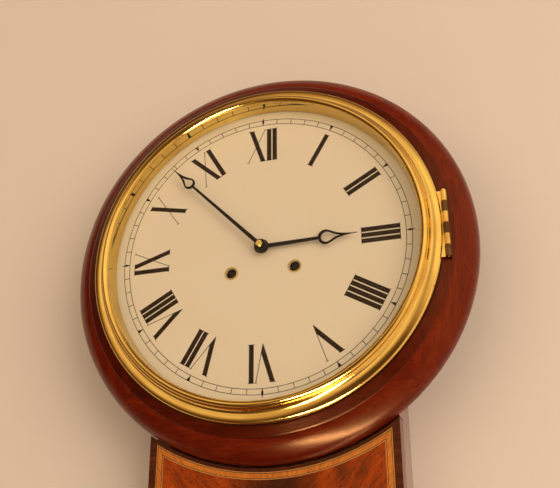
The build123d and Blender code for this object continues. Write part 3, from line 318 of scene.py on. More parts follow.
def door_veneer(name):
    """A flame figured field with a crossbanded border outside the inlaid band, on a plain core."""
    shade = Shade(name)
    across, back, up = from_dial(shade)
    side = shade.math("SUBTRACT", BAND_SIDE, shade.math("ABSOLUTE", across))
    top = shade.math("SUBTRACT", radius_of(shade, across, up), BAND_ARC)
    foot = shade.math("SUBTRACT", up, BAND_FOOT)
    ends = shade.math("MINIMUM", top, foot)
    border = shade.math("LESS_THAN", shade.math("MINIMUM", side, ends), BAND_WIDTH / 2)

    # The field: a feather of streaks that open upwards from the middle line.
    wander = shade.noise(shade.place((14, 14, 14)), 1.0, 3, 0.5)
    centre = shade.math("MULTIPLY_ADD", wander, 26.0, shade.math("SUBTRACT", across, 13.0))
    away = shade.math("SQRT", shade.math("MULTIPLY_ADD", centre, centre, 60.0))
    rising = shade.math("MULTIPLY", shade.math("SUBTRACT", up, away), 0.75)
    running = shade.math("ADD", shade.math("MULTIPLY", up, 0.7), away)
    feather = shade.add("ShaderNodeCombineXYZ", {0: rising, 1: running}).outputs[0]
    streaks = shade.noise(shade.stretch(feather, (0.16, 0.016, 1)), 1.0, 6, 0.6, 0.8)
    ribbons = shade.noise(shade.stretch(feather, (0.9, 0.05, 1)), 1.0, 4, 0.6, 0.3)
    clouds = shade.noise(shade.place((17, 17, 9)), 1.0, 4, 0.55, 0.8)
    heart = shade.ramp(shade.math("DIVIDE", away, 100.0), [(0.0, 0.27), (0.48, 0.0)])
    level = shade.math("MULTIPLY_ADD", ribbons, 0.18, shade.math("MULTIPLY", clouds, 0.40))
    level = shade.math("SUBTRACT", shade.math("MULTIPLY_ADD", streaks, 0.42, level), heart)
    flame = shade.ramp(level, [(0.26, (0.040, 0.005, 0.0010)), (0.42, (0.17, 0.023, 0.0026)),
                               (0.53, (0.39, 0.051, 0.0030)), (0.68, (0.61, 0.110, 0.0060))])

    # The border: its grain runs in from the edge.
    lies = shade.math("LESS_THAN", side, ends)
    cross = chosen(shade, lies, grain_z(shade), grain_x(shade))
    bars = shade.noise(shade.stretch(cross, (40, 420, 420)), 1.0, 5, 0.6, 0.4)
    banding = shade.ramp(bars, [(0.3, (0.030, 0.003, 0.0015)), (0.5, (0.072, 0.007, 0.0025)),
                                (0.7, (0.13, 0.022, 0.007))])
    tone = shade.mix(border, flame, banding)

    # The core, seen from the back and the edges.
    plain_grain = shade.noise(shade.stretch(grain_z(shade), (16, 260, 260)), 1.0, 6, 0.62, 0.6)
    core = shade.ramp(plain_grain, [(0.3, MAHOGANY[0]), (0.5, MAHOGANY[1]), (0.7, MAHOGANY[2])])
    tone = shade.mix(shade.math("GREATER_THAN", back, VENEER - DOOR_FACE), tone, core)
    pores = shade.noise(shade.place((900, 900, 420)), 1.0, 2, 0.5)
    tone = shade.mix(shade.ramp(pores, [(0.34, 0.5), (0.46, 0.0)]), tone, (0.03, 0.008, 0.003))
    shade.bump(shade.math("MULTIPLY_ADD", pores, 0.25, clouds), 0.15, 0.0004)
    dust = shade.noise(shade.place((11, 11, 11)), 1.0, 4, 0.6)
    rough = shade.ramp(dust, [(0.3, 0.13), (0.7, 0.26)])
    return shade.finish(Base_Color=tone, Roughness=rough, IOR=1.40, Specular_Tint=POLISH)


def strip_wood(name, dark, light, streaks):
    """Inlaid wood, streaked across the length that the mesh keeps as its 'path'."""
    shade = Shade(name)
    path = shade.add("ShaderNodeAttribute", attribute_name="path").outputs["Vector"]
    bars = shade.noise(shade.stretch(path, (streaks, 60, 1)), 1.0, 4, 0.65, 0.3)
    soft = shade.noise(shade.place((30, 30, 30)), 1.0, 3, 0.5)
    level = shade.math("MULTIPLY_ADD", bars, 0.7, shade.math("MULTIPLY", soft, 0.3))
    tone = shade.ramp(level, [(0.34, dark), (0.62, light)])
    shade.bump(bars, 0.1, 0.0002)
    rough = shade.ramp(soft, [(0.3, 0.14), (0.7, 0.24)])
    return shade.finish(Base_Color=tone, Roughness=rough, IOR=1.35, Coat_Weight=0.12,
                        Coat_Roughness=0.1)


def metal(name, colour, stain, rough, brushed, spots=0.0, brush=(300, 300, 300)):
    """Worked metal with tarnish in patches, fine tool marks and small dark spots."""
    shade = Shade(name)
    patches = shade.noise(shade.place((22, 22, 22)), 1.0, 5, 0.62, 0.6)
    tone = shade.mix(shade.ramp(patches, [(0.42, 0.0), (0.72, 0.75)]), colour, stain)
    if spots:
        specks = shade.noise(shade.place((260, 260, 260)), 1.0, 4, 0.7)
        cluster = shade.noise(shade.place((38, 38, 38)), 1.0, 2, 0.5)
        both = shade.math("MULTIPLY", shade.ramp(specks, [(0.64, 0.0), (0.70, 1.0)]),
                          shade.ramp(cluster, [(0.52, 0.0), (0.62, spots)]))
        tone = shade.mix(both, tone, (0.05, 0.022, 0.008))
    marks = shade.noise(shade.place(brush), 1.0, 4, 0.6)
    shade.bump(marks, brushed, 0.0001)
    level = shade.math("MULTIPLY_ADD", marks, 0.35, shade.math("MULTIPLY", patches, 0.65))
    return shade.finish(Base_Color=tone, Metallic=1.0, IOR=1.45,
                        Roughness=shade.ramp(level, [(0.32, rough * 0.7), (0.7, rough * 1.6)]))


BEZEL_WALL = 149.38      # the bezel's polished inner wall lies inside this radius


def spun_brass(name):
    """Polished brass turned on a lathe: its marks run round the middle of the dial, and the wall
    beside the glass is smoother."""
    shade = Shade(name)
    across, back, up = from_dial(shade)
    radius = radius_of(shade, across, up)
    lines = shade.add("ShaderNodeCombineXYZ", {0: radius, 1: back}).outputs[0]
    fine = shade.noise(shade.stretch(lines, (5, 5, 1)), 1.0, 5, 0.7)
    coarse = shade.noise(shade.stretch(lines, (1.3, 1.3, 1)), 1.0, 3, 0.6)
    patches = shade.noise(shade.place((26, 26, 26)), 1.0, 5, 0.6, 0.8)
    tone = shade.mix(shade.ramp(patches, [(0.42, 0.0), (0.75, 0.6)]), (0.92, 0.63, 0.18),
                     (0.70, 0.40, 0.09))
    tone = shade.mix(shade.ramp(coarse, [(0.30, 0.35), (0.44, 0.0)]), tone, (0.55, 0.31, 0.07))
    specks = shade.noise(shade.place((210, 210, 210)), 1.0, 4, 0.7)
    cluster = shade.noise(shade.place((30, 30, 30)), 1.0, 2, 0.5)
    worn = shade.math("MULTIPLY", shade.ramp(specks, [(0.635, 0.0), (0.68, 1.0)]),
                      shade.ramp(cluster, [(0.54, 0.0), (0.64, 0.9)]))
    tone = shade.mix(worn, tone, (0.09, 0.035, 0.010))
    wall = shade.math("LESS_THAN", radius, BEZEL_WALL)
    # Painted shade: the wall's tone is made darker and less orange, for the shaded reflection it
    # shows.
    tone = shade.mix(wall, tone, shade.mix(1.0, tone, (0.82, 0.88, 0.88), "MULTIPLY"))
    turned = shade.math("MULTIPLY_ADD", fine, 0.3, shade.math("MULTIPLY", coarse, 0.7))
    outside = shade.math("GREATER_THAN", radius, BEZEL_WALL)
    shade.bump(shade.math("MULTIPLY", turned, outside), 0.08, 0.00005)
    level = shade.math("MULTIPLY_ADD", fine, 0.3, shade.math("MULTIPLY", patches, 0.7))
    rough = shade.mix(worn, shade.ramp(level, [(0.35, 0.10), (0.70, 0.20)]), (0.6, 0.6, 0.6))
    rough = shade.mix(wall, rough, (0.05, 0.05, 0.05))
    return shade.finish(Base_Color=tone, Metallic=1.0, IOR=1.45, Roughness=rough)


ENAMEL_EDGE = 155.0      # radius at which the dial's tone ends


def dial_enamel(name):
    """Cream enamel, with painted shade darkening it towards the edge under the bezel, and faint
    specks.
    """
    shade = Shade(name)
    across, _, up = from_dial(shade)
    radius = shade.math("DIVIDE", radius_of(shade, across, up), ENAMEL_EDGE)
    # Painted shade: the tone darkens over the outer rim, where the bezel shades the dial.
    tone = shade.ramp(radius, [(0.0, (0.90, 0.800, 0.740)), (0.84, (0.90, 0.800, 0.735)),
                               (0.92, (0.85, 0.785, 0.735)), (1.0, (0.77, 0.725, 0.690))])
    mottle = shade.noise(shade.place((30, 30, 30)), 1.0, 5, 0.6)
    tone = shade.mix(shade.ramp(mottle, [(0.35, 0.0), (0.75, 0.14)]), tone, (0.80, 0.69, 0.52))
    peel = shade.noise(shade.place((420, 420, 420)), 1.0, 3, 0.5)
    specks = shade.noise(shade.place((520, 520, 520)), 1.0, 2, 0.5)
    tone = shade.mix(shade.ramp(specks, [(0.735, 0.0), (0.76, 0.55)]), tone, (0.36, 0.26, 0.15))
    shade.bump(peel, 0.05, 0.0001)
    return shade.finish(Base_Color=tone, IOR=1.5,
                        Roughness=shade.ramp(mottle, [(0.3, 0.30), (0.7, 0.42)]))


def print_ink(name):
    """Dark brown-black dial print, slightly uneven."""
    shade = Shade(name)
    worn = shade.noise(shade.place((160, 160, 160)), 1.0, 4, 0.6)
    tone = shade.ramp(worn, [(0.3, (0.020, 0.0060, 0.0006)), (0.75, (0.028, 0.009, 0.0010))])
    shade.bump(worn, 0.05, 0.00005)
    return shade.finish(Base_Color=tone, IOR=1.15,
                        Roughness=shade.ramp(worn, [(0.3, 0.5), (0.7, 0.65)]))


def clear_glass(name):
    """Thin flat glass: it lets light through and mirrors it more at a slant."""
    shade = Shade(name)
    smear = shade.noise(shade.place((7, 7, 7)), 1.0, 4, 0.6, 1.5)
    shade.nodes.remove(shade.surface)
    facing = shade.add("ShaderNodeLayerWeight", {"Blend": 0.5}).outputs["Facing"]
    slant = shade.math("POWER", facing, 5.0)
    fresnel = shade.math("MULTIPLY_ADD", slant, 0.9, 0.010)
    through = shade.add("ShaderNodeBsdfTransparent", {"Color": (0.985, 0.992, 0.985, 1)})
    rough = shade.ramp(smear, [(0.35, 0.02), (0.75, 0.09)])
    mirror = shade.add("ShaderNodeBsdfAnisotropic", {"Color": (1, 1, 1, 1), "Roughness": rough})
    both = shade.add("ShaderNodeMixShader",
                     {0: fresnel, 1: through.outputs[0], 2: mirror.outputs[0]})
    shade.links.new(both.outputs[0], shade.nodes["Material Output"].inputs["Surface"])
    return shade.material


def plain(name, colour, rough):
    """A plain matt surface."""
    shade = Shade(name)
    return shade.finish(Base_Color=(*colour, 1), Roughness=rough, IOR=1.4)


SCRIBED_LINE = 177.0     # radius of the line round the surround's fascia
BEZEL_CORNER = 168.2     # radius of the corner where the fascia meets the bezel


def surround_dark_fascia_and_shadow(shade, tone):
    """The fascia inside the scribed line is darker, and a painted shadow darkens the corner at the
    bezel.
    """
    across, _, up = from_dial(shade)
    radius = radius_of(shade, across, up)
    fascia = shade.ramp(shade.math("SUBTRACT", radius, SCRIBED_LINE), [(0.0, 0.55), (1.0, 1.0)])
    # Painted shadow: the corner where the fascia meets the bezel is darkened almost to black.
    corner = shade.ramp(shade.math("SUBTRACT", radius, BEZEL_CORNER), [(0.0, 0.15), (1.0, 1.0)])
    return shade.mix(1.0, shade.mix(1.0, tone, fascia, "MULTIPLY"), corner, "MULTIPLY")


FINISH = {
    "surround": wood("surround_mahogany", ring_grain, *MAHOGANY, stain=surround_dark_fascia_and_shadow),
    "upright": wood("upright_mahogany", grain_z, *MAHOGANY, coat=1.0),
    "level": wood("level_mahogany", grain_x, *MAHOGANY),
    "frame": wood("frame_mahogany", frame_grain, *MAHOGANY),
    "flame": door_veneer("flame_veneer"),
    "satinwood": strip_wood("satinwood_band", (0.40, 0.085, 0.006), (0.80, 0.27, 0.022), 430),
    "boxwood": strip_wood("boxwood_string", (0.50, 0.21, 0.050), (0.66, 0.32, 0.090), 120),
    "ebony": strip_wood("ebony_string", (0.022, 0.008, 0.004), (0.055, 0.018, 0.008), 120),
    "deal": wood("planed_deal", grain_z, (0.19, 0.095, 0.038), (0.33, 0.19, 0.085),
                 (0.44, 0.28, 0.14), gloss=0.5, grain=0.5),
    "spun": spun_brass("spun_brass"),
    "brass": metal("polished_brass", (0.92, 0.62, 0.18), (0.66, 0.38, 0.09), 0.20, 0.12,
                   spots=0.6),
    "aged": metal("aged_brass", (0.62, 0.43, 0.17), (0.40, 0.25, 0.09), 0.34, 0.22, spots=0.5,
                  brush=(60, 60, 900)),
    # Painted shade: the case's hinge knuckles get a darker brass for the shade they lie in beside
    # the bezel.
    "knuckle": metal("shaded_knuckles", (0.20, 0.10, 0.045), (0.10, 0.045, 0.02), 0.36, 0.2,
                     spots=0.7),
    "enamel": dial_enamel("cream_enamel"),
    "ink": print_ink("dial_ink"),
    "blued": metal("blued_steel", (0.016, 0.008, 0.006), (0.008, 0.004, 0.003), 0.30, 0.10),
    # Painted shade: near-black steel for the winding squares, for the shade inside the winding
    # holes.
    "dark": metal("winder_shade_steel", (0.038, 0.012, 0.003), (0.020, 0.007, 0.002), 0.5, 0.2),
    "steel": metal("bright_steel", (0.56, 0.55, 0.54), (0.36, 0.33, 0.29), 0.24, 0.16,
                   brush=(80, 80, 1200)),
    "glass": clear_glass("clear_glass"),
}
NODE_FINISH = {
    "backboard": "deal", "hanging_plate": "aged", "hanging_plate_screws": "steel",
    "trunk_left_side": "upright", "trunk_right_side": "upright", "head_top": "level",
    "case_hinge_leaves": "aged", "hinge_pins": "brass", "box_sides": "upright",
    "box_cornice": "level", "box_plinth": "level", "dial_plate": "enamel",
    "winding_grommets": "aged", "pillars_and_dial_feet": "aged", "small_screws": "steel",
    "surround_hinge_leaf": "knuckle", "front_plate": "aged", "back_plate": "aged",
    "suspension_cock": "aged", "bell": "brass", "bell_stand": "steel", "bezel_glass": "glass",
    "bezel_hinge_leaf": "brass", "bezel_hinge_pin": "brass", "trunk_door": "flame",
    "trunk_door_leaves": "aged", "trunk_latch": "brass", "box_door_frame": "frame",
    "box_glass": "glass", "box_door_leaves": "aged", "box_latch": "brass", "centre_arbor": "steel",
    "cannon_pinion": "steel", "minute_hand": "blued", "hand_nut": "brass", "hour_wheel": "aged",
    "strike_snail": "aged", "hour_hand": "blued", "minute_wheel": "aged", "going_barrel": "aged",
    "going_mainspring": "steel", "going_winder": "dark", "second_wheel": "aged",
    "third_wheel": "aged", "escape_wheel": "aged", "anchor": "steel", "pendulum_rod": "steel",
    "suspension_spring": "steel", "pendulum_bob": "brass", "rating_nut": "brass",
    "strike_barrel": "aged", "strike_mainspring": "steel", "strike_winder": "dark",
    "pin_wheel": "aged", "locking_wheel": "aged", "fly": "aged", "hammer": "steel",
}
for node, finish in NODE_FINISH.items():
    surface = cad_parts[node].data
    surface.materials.clear()
    surface.materials.append(FINISH[finish])


# --- Turned surround and bezel -----------------------------------------------------------------
SEGMENTS = 384
BULGE = (178.4, -23.3, 18.4)     # middle (radius, f) and radius of the ring's rounded edge
CROWN = (178.0, -1.6)            # where the bulge meets the quirk
RING_BACK = -25.5                # f of the ring's back
FLAT_STEPS = 20                  # steps of the flatter arc from the bulge to the quirk


def surround_profile():
    """The moulded ring: a bulge, a thin scribed quirk and a sloping fascia."""
    x, f, r = BULGE
    outline = [(x + r * math.cos(math.radians(a)), f + r * math.sin(math.radians(a)))
               for a in range(0, 46, 3)]
    # The bulge runs on from its shoulder to the quirk in a flatter arc that leaves it smoothly.
    sx, sf = outline[-1]
    nx, nf = -math.sqrt(0.5), -math.sqrt(0.5)
    dx, df = CROWN[0] - sx, CROWN[1] - sf
    flat = (dx * dx + df * df) / (2 * (dx * nx + df * nf))
    mx, mf = sx + nx * flat, sf + nf * flat
    first = math.atan2(sf - mf, sx - mx)
    turn = math.atan2(CROWN[1] - mf, CROWN[0] - mx) - first
    outline += [(mx + flat * math.cos(first + turn * i / FLAT_STEPS),
                 mf + flat * math.sin(first + turn * i / FLAT_STEPS))
                for i in range(1, FLAT_STEPS + 1)]
    outline += [(177.85, -1.15), (177.6, -0.4), (177.35, -0.15)]
    outline += [(177.35 - 9.25 * i / 6, -0.15 + 5.05 * i / 6) for i in range(1, 7)]
    outline += [(167.6, 5.0), (153.0, 5.0), (153.0, -1.5), (98.0, -1.5), (98.0, RING_BACK),
                (196.2, RING_BACK), (196.8, -24.9)]
    return outline


surround = new_object("turned_surround", lathe("turned_surround", surround_profile(), SEGMENTS),
                      FINISH["surround"], "case", sharp=28)
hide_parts("dial_surround")


def bezel_profile():
    """The bezel: leaning polished wall, broad roll, steep step, flat skirt and rounded edge."""
    outline = [(148.2, 0.9), (148.3, 1.6), (149.0, 9.0), (149.35, 13.4)]
    outline += arc((149.4, 14.4), (150.35, 18.3), (152.4, 19.96), 24)
    outline += arc((152.4, 19.96), (154.6, 19.1), (156.0, 17.0), 18)
    outline += arc((156.0, 17.0), (156.9, 13.8), (159.4, 10.9), 16)
    outline += arc((159.4, 10.9), (162.8, 10.4), (165.9, 9.2), 14)
    outline += arc((165.9, 9.2), (167.1, 8.2), (167.7, 6.7), 10)
    outline += [(167.7, 5.7), (167.5, 5.3), (165.2, 5.3), (163.2, 8.4), (158.4, 9.4),
                (154.9, 12.4), (150.8, 12.8), (150.4, 0.9), (150.1, 0.6), (148.5, 0.6)]
    return outline


bezel = new_object("spun_bezel", lathe("spun_bezel", bezel_profile(), SEGMENTS), FINISH["spun"],
                   "bezel", sharp=28)
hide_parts("bezel_ring")


# --- Boss of the hour hand -----------------------------------------------------------------
BOSS = [(4.45, 4.55), (6.9, 4.55), (7.1, 4.8), (7.1, 5.2), (6.8, 6.0), (6.1, 6.7), (5.2, 7.1),
        (4.45, 7.2)]
new_object("hour_boss", lathe("hour_boss", BOSS, 96), FINISH["blued"], "hour_hand")


# --- Inlaid band of the trunk door ---------------------------------------------------------------
ARC_STEPS = 60
SIDE_STEPS = 24


def band_outline(inset):
    """The closed line that lies a distance inside the band's outer edge."""
    half, radius, foot = BAND_SIDE - inset, BAND_ARC + inset, BAND_FOOT + inset
    reach = math.asin(half / radius)
    places = [(radius * math.sin(reach * (2 * i / ARC_STEPS - 1)),
               -radius * math.cos(reach * (2 * i / ARC_STEPS - 1))) for i in range(ARC_STEPS + 1)]
    top = places[-1][1]
    shares = [i / SIDE_STEPS for i in range(1, SIDE_STEPS + 1)]
    places += [(half, top + (foot - top) * share) for share in shares]
    places += [(half - 2 * half * share, foot) for share in shares]
    places += [(-half, foot + (top - foot) * share) for share in shares[:-1]]
    return places


def inlaid_strip(name, inset, width, finish):
    """One strip of the band, with its run kept on the mesh for the grain."""
    outer, inner = band_outline(inset), band_outline(inset + width)
    behind = DOOR_FACE - BAND_DEPTH
    bm = bmesh.new()
    run = bm.verts.layers.float_vector.new("path")
    loops = []
    length = 0.0
    count = len(outer)
    for i in range(count + 1):
        j = i % count
        if i:
            length += math.dist(outer[j], outer[i - 1])
        loop = []
        for (x, z), across, f in ((outer[j], 0.0, behind), (outer[j], 0.0, DOOR_FACE),
                                  (inner[j], width, DOOR_FACE), (inner[j], width, behind)):
            vertex = bm.verts.new(point(x, z, f))
            vertex[run] = (length * MM, across * MM, 0.0)
            loop.append(vertex)
        loops.append(loop)
    for before, after in zip(loops, loops[1:]):
        for j in range(4):
            k = (j + 1) % 4
            bm.faces.new((before[j], before[k], after[k], after[j]))
    return new_object(name, from_bmesh(name, bm), FINISH[finish], "trunk_door")


# Name, width and finish of each strip, from the band's outer edge inwards.
STRIPS = [("outer_light_string", 0.8, "boxwood"), ("outer_dark_string", 0.5, "ebony"),
          ("satinwood_strip", 4.0, "satinwood"), ("inner_dark_string", 0.5, "ebony"),
          ("inner_light_string", 0.8, "boxwood")]
inset = 0.0
for name, width, finish in STRIPS:
    strip = inlaid_strip(name, inset, width, finish)
    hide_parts("trunk_inlay")
    inset += width


# --- Dial print --------------------------------------------------------------------------------
INK = 0.06               # thickness of the print
NUMERAL_FOOT = 93.5
NUMERAL_TOP = 129.5
STROKE = 4.5             # of an I
THICK = 4.6              # the thick stroke of a V or X, measured level
STROKE_GAP = 1.1         # between one I and the next
LETTER_GAP = 1.6         # between other letters
HAIR = 0.64              # a hairline, measured level
SERIF = 0.52             # thickness of a serif
SERIF_OUT = 0.9          # how far it stands out past a thick stroke
HAIR_SERIF = 1.5         # half length of the serif on a hairline
V_WIDTH = 18.2
V_POINT = 11.0           # from the left of a V to its point
V_OVERLAP = 0.1          # how far the hairline of a V runs into its thick stroke at the foot
X_WIDTH = 16.5
X_REACH = 1.2            # how far the hairline of an X starts outside its thick stroke
TRACK_IN = 134.7
TRACK_OUT = 140.0
TRACK_LINE = 0.56        # thickness of the track's two rings
TICK = 0.62              # and of its minute strokes
# The wedge at an hour: half width and point. The diamond at a quarter: half width, point, widest
# place and tip.
HOUR_MARK = (1.75, TRACK_IN - 0.4)
QUARTER_MARK = (1.15, TRACK_IN - 0.3, 138.2, 143.2)
LAYER = 0.002            # strokes of a numeral differ in height by steps of this much
LAYERS = 5               # and take this many heights in turn
TRACK_LAYER = 0.01       # the rings stand above the minute strokes by this much
MARK_LAYER = 0.02        # and the hour marks by this much
# How far each numeral stands off its hour line, clockwise.
NUMERAL_SHIFT = {"V": -2.0, "X": -1.2, "XI": -1.0, "VI": 0.45, "VII": 0.6, "VIII": 0.6}


def level_box(left, right, low, high):
    """The corners of a level rectangle."""
    return [(left, low), (right, low), (right, high), (left, high)]


def serif(left, right, low):
    """The serif at an end of a thick stroke, from its lower edge up."""
    return level_box(left - SERIF_OUT, right + SERIF_OUT, low, low + SERIF)


def hair_serif(middle, height, up):
    """A short hairline across the end of a thin stroke."""
    low = height - SERIF if up else height
    return level_box(middle - HAIR_SERIF, middle + HAIR_SERIF, low, low + SERIF)


def bar(left, foot, top):
    """An upright stroke with serifs at both ends."""
    right = left + STROKE
    return [level_box(left, right, foot, top), serif(left, right, foot),
            serif(left, right, top - SERIF)]


def slanted(foot_x, top_x, width, foot, top):
    """A slanted stroke with level ends."""
    return [(foot_x, foot), (foot_x + width, foot), (top_x + width, top), (top_x, top)]


def letter_v(left, foot, top):
    """A V: its first stroke is thick and is cut to a point along the second."""
    height = top - foot
    rise = (V_WIDTH - V_POINT) / height
    meet = THICK / (V_POINT / height + rise)
    thick = [(left + V_POINT, foot), (left + V_POINT + rise * meet, foot + meet),
             (left + THICK, top), (left, top)]
    thin = slanted(left + V_POINT - V_OVERLAP, left + V_WIDTH - HAIR, HAIR, foot, top)
    return [thick, thin, serif(left, left + THICK, top - SERIF),
            hair_serif(left + V_WIDTH - HAIR / 2, top, True)]


def letter_x(left, foot, top):
    """An X: thick from top left to bottom right, and thin the other way."""
    right = left + X_WIDTH
    thick = slanted(right - THICK, left, THICK, foot, top)
    thin = slanted(left - X_REACH, right - HAIR, HAIR, foot, top)
    return [thick, thin, serif(right - THICK, right, foot), serif(left, left + THICK, top - SERIF),
            hair_serif(left - X_REACH + HAIR / 2, foot, False),
            hair_serif(right - HAIR / 2, top, True)]


LETTERS = {"I": (bar, STROKE), "V": (letter_v, V_WIDTH), "X": (letter_x, X_WIDTH)}
HOURS = ["XII", "I", "II", "III", "IIII", "V", "VI", "VII", "VIII", "IX", "X", "XI"]


def numeral(text):
    """The shapes of a numeral, centred across, with its feet towards the middle of the dial."""
    shapes, left, last = [], 0.0, ""
    for letter in text:
        if last:
            left += STROKE_GAP if last == letter == "I" else LETTER_GAP
        make, width = LETTERS[letter]
        shapes += make(left, NUMERAL_FOOT, NUMERAL_TOP)
        left += width
        last = letter
    shift = NUMERAL_SHIFT.get(text, 0.0) - left / 2
    return [[(x + shift, z) for x, z in shape] for shape in shapes]


def at_hour(places, angle):
    """Turn places about the middle of the dial, clockwise from the top."""
    c, s = math.cos(angle), math.sin(angle)
    return [(x * c + z * s, z * c - x * s) for x, z in places]


def dial_print():
    """Numerals, minute track and hour marks as one thin layer."""
    bm = bmesh.new()
    for hour, text in enumerate(HOURS):
        angle = math.tau * hour / 12
        for layer, shape in enumerate(numeral(text)):
            prism(bm, at_hour(shape, angle), 0.0, INK + LAYER * (layer % LAYERS))
        if hour % 3:
            half, low = HOUR_MARK
            mark = [(-half, TRACK_OUT), (0.0, low), (half, TRACK_OUT)]
        else:
            half, low, widest, tip = QUARTER_MARK
            mark = [(-half, widest), (0.0, low), (half, widest), (0.0, tip)]
        prism(bm, at_hour(mark, angle), 0.0, INK + MARK_LAYER)
    for minute in range(60):
        tick = level_box(-TICK / 2, TICK / 2, TRACK_IN, TRACK_OUT)
        prism(bm, at_hour(tick, math.tau * minute / 60), 0.0, INK)
    for radius in (TRACK_IN, TRACK_OUT):
        ring_prism(bm, radius - TRACK_LINE / 2, radius + TRACK_LINE / 2, 0.0, INK + TRACK_LAYER)
    return from_bmesh("dial_print", bm)


new_object("dial_print", dial_print(), FINISH["ink"], "case")


# --- Stouter hands and softened edges ----------------------------------------------------------
# Width of each node's softened edges.
EDGES = {"trunk_left_side": 0.8, "trunk_right_side": 0.8, "head_top": 0.6, "box_sides": 0.6,
         "trunk_door": 0.25, "box_door_frame": 0.6, "minute_hand": 0.18, "hour_hand": 0.18,
         "front_plate": 0.2, "back_plate": 0.2, "backboard": 0.4}
STOUT = 0.18             # how far the surfaces of the hands move outwards
for node in ("minute_hand", "hour_hand"):
    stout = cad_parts[node].modifiers.new("stout", "DISPLACE")
    stout.strength = STOUT * MM
    stout.mid_level = 0.0
for node, width in EDGES.items():
    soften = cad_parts[node].modifiers.new("soften", "BEVEL")
    soften.width = width * MM
    soften.segments = 3
    soften.limit_method = "ANGLE"
    soften.angle_limit = math.radians(40)
    soften.harden_normals = True


# --- Wall, floor, light and camera -------------------------------------------------------------
def plane(name, corners, material):
    """A flat piece of the surroundings."""
    mesh = bpy.data.meshes.new(name)
    mesh.from_pydata(corners, [], [(0, 1, 2, 3)])
    mesh.materials.append(material)
    piece = bpy.data.objects.new(name, mesh)
    bpy.context.scene.collection.objects.link(piece)
    return piece


FADE_FROM = 0.5          # height in metres where the wall starts to darken
FADE_RATE = 2.6          # and how fast, per metre


def wall_paint(name, colour):
    """Pale paint, with painted shade darkening it towards the top, that is only there from the
    front.
    """
    shade = Shade(name)
    peel = shade.noise(shade.place((120, 120, 120)), 1.0, 3, 0.5)
    shade.bump(peel, 0.12, 0.0008)
    height = shade.add("ShaderNodeSeparateXYZ", {0: shade.place()}).outputs[2]
    # Painted shade: the wall darkens above FADE_FROM, as a room's light falls off upwards.
    fade = shade.math("MULTIPLY_ADD", height, FADE_RATE, -FADE_RATE * FADE_FROM)
    shaded = shade.ramp(fade, [(0.0, 1.0), (1.0, 0.15)])
    shade.finish(Base_Color=shade.mix(1.0, colour, shaded, "MULTIPLY"), Roughness=0.8, IOR=1.4)
    away = shade.add("ShaderNodeNewGeometry").outputs["Backfacing"]
    clear = shade.add("ShaderNodeBsdfTransparent").outputs[0]
    both = shade.add("ShaderNodeMixShader", {0: away, 1: shade.surface.outputs[0], 2: clear})
    shade.links.new(both.outputs[0], shade.nodes["Material Output"].inputs["Surface"])
    return shade.material


# The room, in metres: its floor, the top and half width of its wall, and the wall's surface.
FLOOR_Z = -2.1
WALL_TOP = 3.5
ROOM = 6
WALL_FACE = WALL_Y + 0.0005
wall = plane("wall", [(-ROOM, WALL_FACE, FLOOR_Z), (ROOM, WALL_FACE, FLOOR_Z),
                      (ROOM, WALL_FACE, WALL_TOP), (-ROOM, WALL_FACE, WALL_TOP)],
             wall_paint("wall_paint", (0.875, 0.815, 0.850)))
wall.visible_shadow = False
wall.visible_diffuse = False
floor = plane("floor", [(-ROOM, -ROOM, FLOOR_Z), (ROOM, -ROOM, FLOOR_Z), (ROOM, ROOM, FLOOR_Z),
                        (-ROOM, ROOM, FLOOR_Z)],
              plain("floor_paint", (0.70, 0.66, 0.62), 0.7))
floor.visible_glossy = False


def area_light(name, place, target, size, power, colour, along=None):
    """A soft rectangular light that faces a target. One with a length given along a line is
    only there as a highlight, and the others only as light."""
    light = bpy.data.lights.new(name, "AREA")
    light.shape = "RECTANGLE"
    light.size, light.size_y = size
    light.energy = power
    light.color = colour
    lamp = bpy.data.objects.new(name, light)
    away = (Vector(place) - Vector(target)).normalized()
    lamp.rotation_euler = away.to_track_quat("Z", "Y").to_euler()
    if along:
        across = Vector(along) - away * away.dot(Vector(along))
        across.normalize()
        lamp.rotation_euler = Matrix((across, away.cross(across), away)).transposed().to_euler()
    lamp.location = place
    lamp.visible_glossy = bool(along)
    lamp.visible_diffuse = not along
    bpy.context.scene.collection.objects.link(lamp)


HEAD = point(0, 0, 0)
WARM = (1.0, 0.82, 0.60)
area_light("left", (-1.9, -2.2, 0.9), HEAD, (2.2, 2.2), 4, WARM)
area_light("right", (2.2, -2.2, -0.4), HEAD, (2.0, 2.2), 35, WARM)
area_light("low", (0.32, -0.58, -1.47), point(60, -150, 0), (1.15, 0.17), 33, (1.0, 0.78, 0.46),
           along=(-0.69, -0.68, 0.14))


WORLD_DARK = 0.10
# Direction, half width in degrees and strength of each soft glow of the room.
WORLD_GLOWS = [((0.80, -0.45, 0.38), 48, 0.95), ((0.85, -0.20, -0.48), 32, 0.8),
               ((0.02, -0.66, 0.75), 30, 0.35), ((-0.45, -0.88, 0.15), 42, 0.75),
               ((0.15, -0.88, 0.42), 36, 0.35), ((0.1, 1.0, -0.05), 75, 0.9)]
GLOW_CORE = 0.97         # cosine of the angle inside which a glow has its full strength
DIM_TINT = (1.0, 0.48, 0.20, 1)
BRIGHT_TINT = (1.0, 0.78, 0.47, 1)


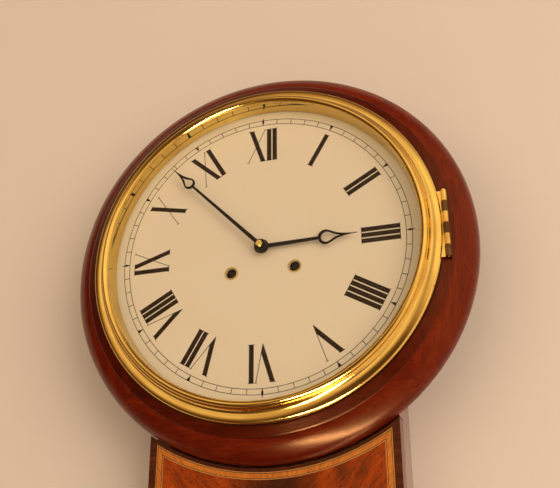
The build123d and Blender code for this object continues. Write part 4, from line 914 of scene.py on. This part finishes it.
def studio_world():
    """A dim warm room with soft glows around the clock."""
    world = bpy.data.worlds.new("room")
    bpy.context.scene.world = world
    world.use_nodes = True
    nodes, links = world.node_tree.nodes, world.node_tree.links

    def sums(operation, first, second):
        node = nodes.new("ShaderNodeMath")
        node.operation = operation
        for socket, value in zip(node.inputs, (first, second)):
            if isinstance(value, bpy.types.NodeSocket):
                links.new(value, socket)
            else:
                socket.default_value = value
        return node.outputs[0]

    def step(value, low, high):
        node = nodes.new("ShaderNodeMapRange")
        node.interpolation_type = "SMOOTHSTEP"
        links.new(value, node.inputs["Value"])
        node.inputs["From Min"].default_value = low
        node.inputs["From Max"].default_value = high
        return node.outputs[0]

    direction = nodes.new("ShaderNodeTexCoord").outputs["Generated"]
    patches = nodes.new("ShaderNodeTexNoise")
    links.new(direction, patches.inputs["Vector"])
    patches.inputs["Scale"].default_value = 2.2
    patches.inputs["Detail"].default_value = 2.0
    total = WORLD_DARK
    for towards, wide, strength in WORLD_GLOWS:
        dot = nodes.new("ShaderNodeVectorMath")
        dot.operation = "DOT_PRODUCT"
        links.new(direction, dot.inputs[0])
        dot.inputs[1].default_value = Vector(towards).normalized()
        glow = step(dot.outputs["Value"], math.cos(math.radians(wide)), GLOW_CORE)
        total = sums("ADD", total, sums("MULTIPLY", glow, strength))
    level = sums("MULTIPLY", total, sums("ADD", patches.outputs["Fac"], 0.5))
    tint = nodes.new("ShaderNodeMix")
    tint.data_type = "RGBA"
    links.new(level, tint.inputs["Factor"])
    tint.inputs[6].default_value = DIM_TINT
    tint.inputs[7].default_value = BRIGHT_TINT
    background = nodes["Background"]
    links.new(tint.outputs[2], background.inputs["Color"])
    links.new(level, background.inputs["Strength"])


studio_world()

EYE = point(233.85, -365.27, 747.16)
AIM = point(16.73, 2.12, 0)
LENS = 59.575
ROLL = math.radians(-0.312)
camera = bpy.data.objects.new("camera", bpy.data.cameras.new("camera"))
bpy.context.scene.collection.objects.link(camera)
camera.data.sensor_width = 36
camera.data.lens = LENS
camera.data.clip_start = 0.02
track = (AIM - EYE).to_track_quat("-Z", "Y").to_matrix().to_4x4()
camera.matrix_world = Matrix.Translation(EYE) @ track @ Matrix.Rotation(ROLL, 4, "Z")
bpy.context.scene.camera = camera
bpy.context.scene.view_settings.view_transform = "Standard"
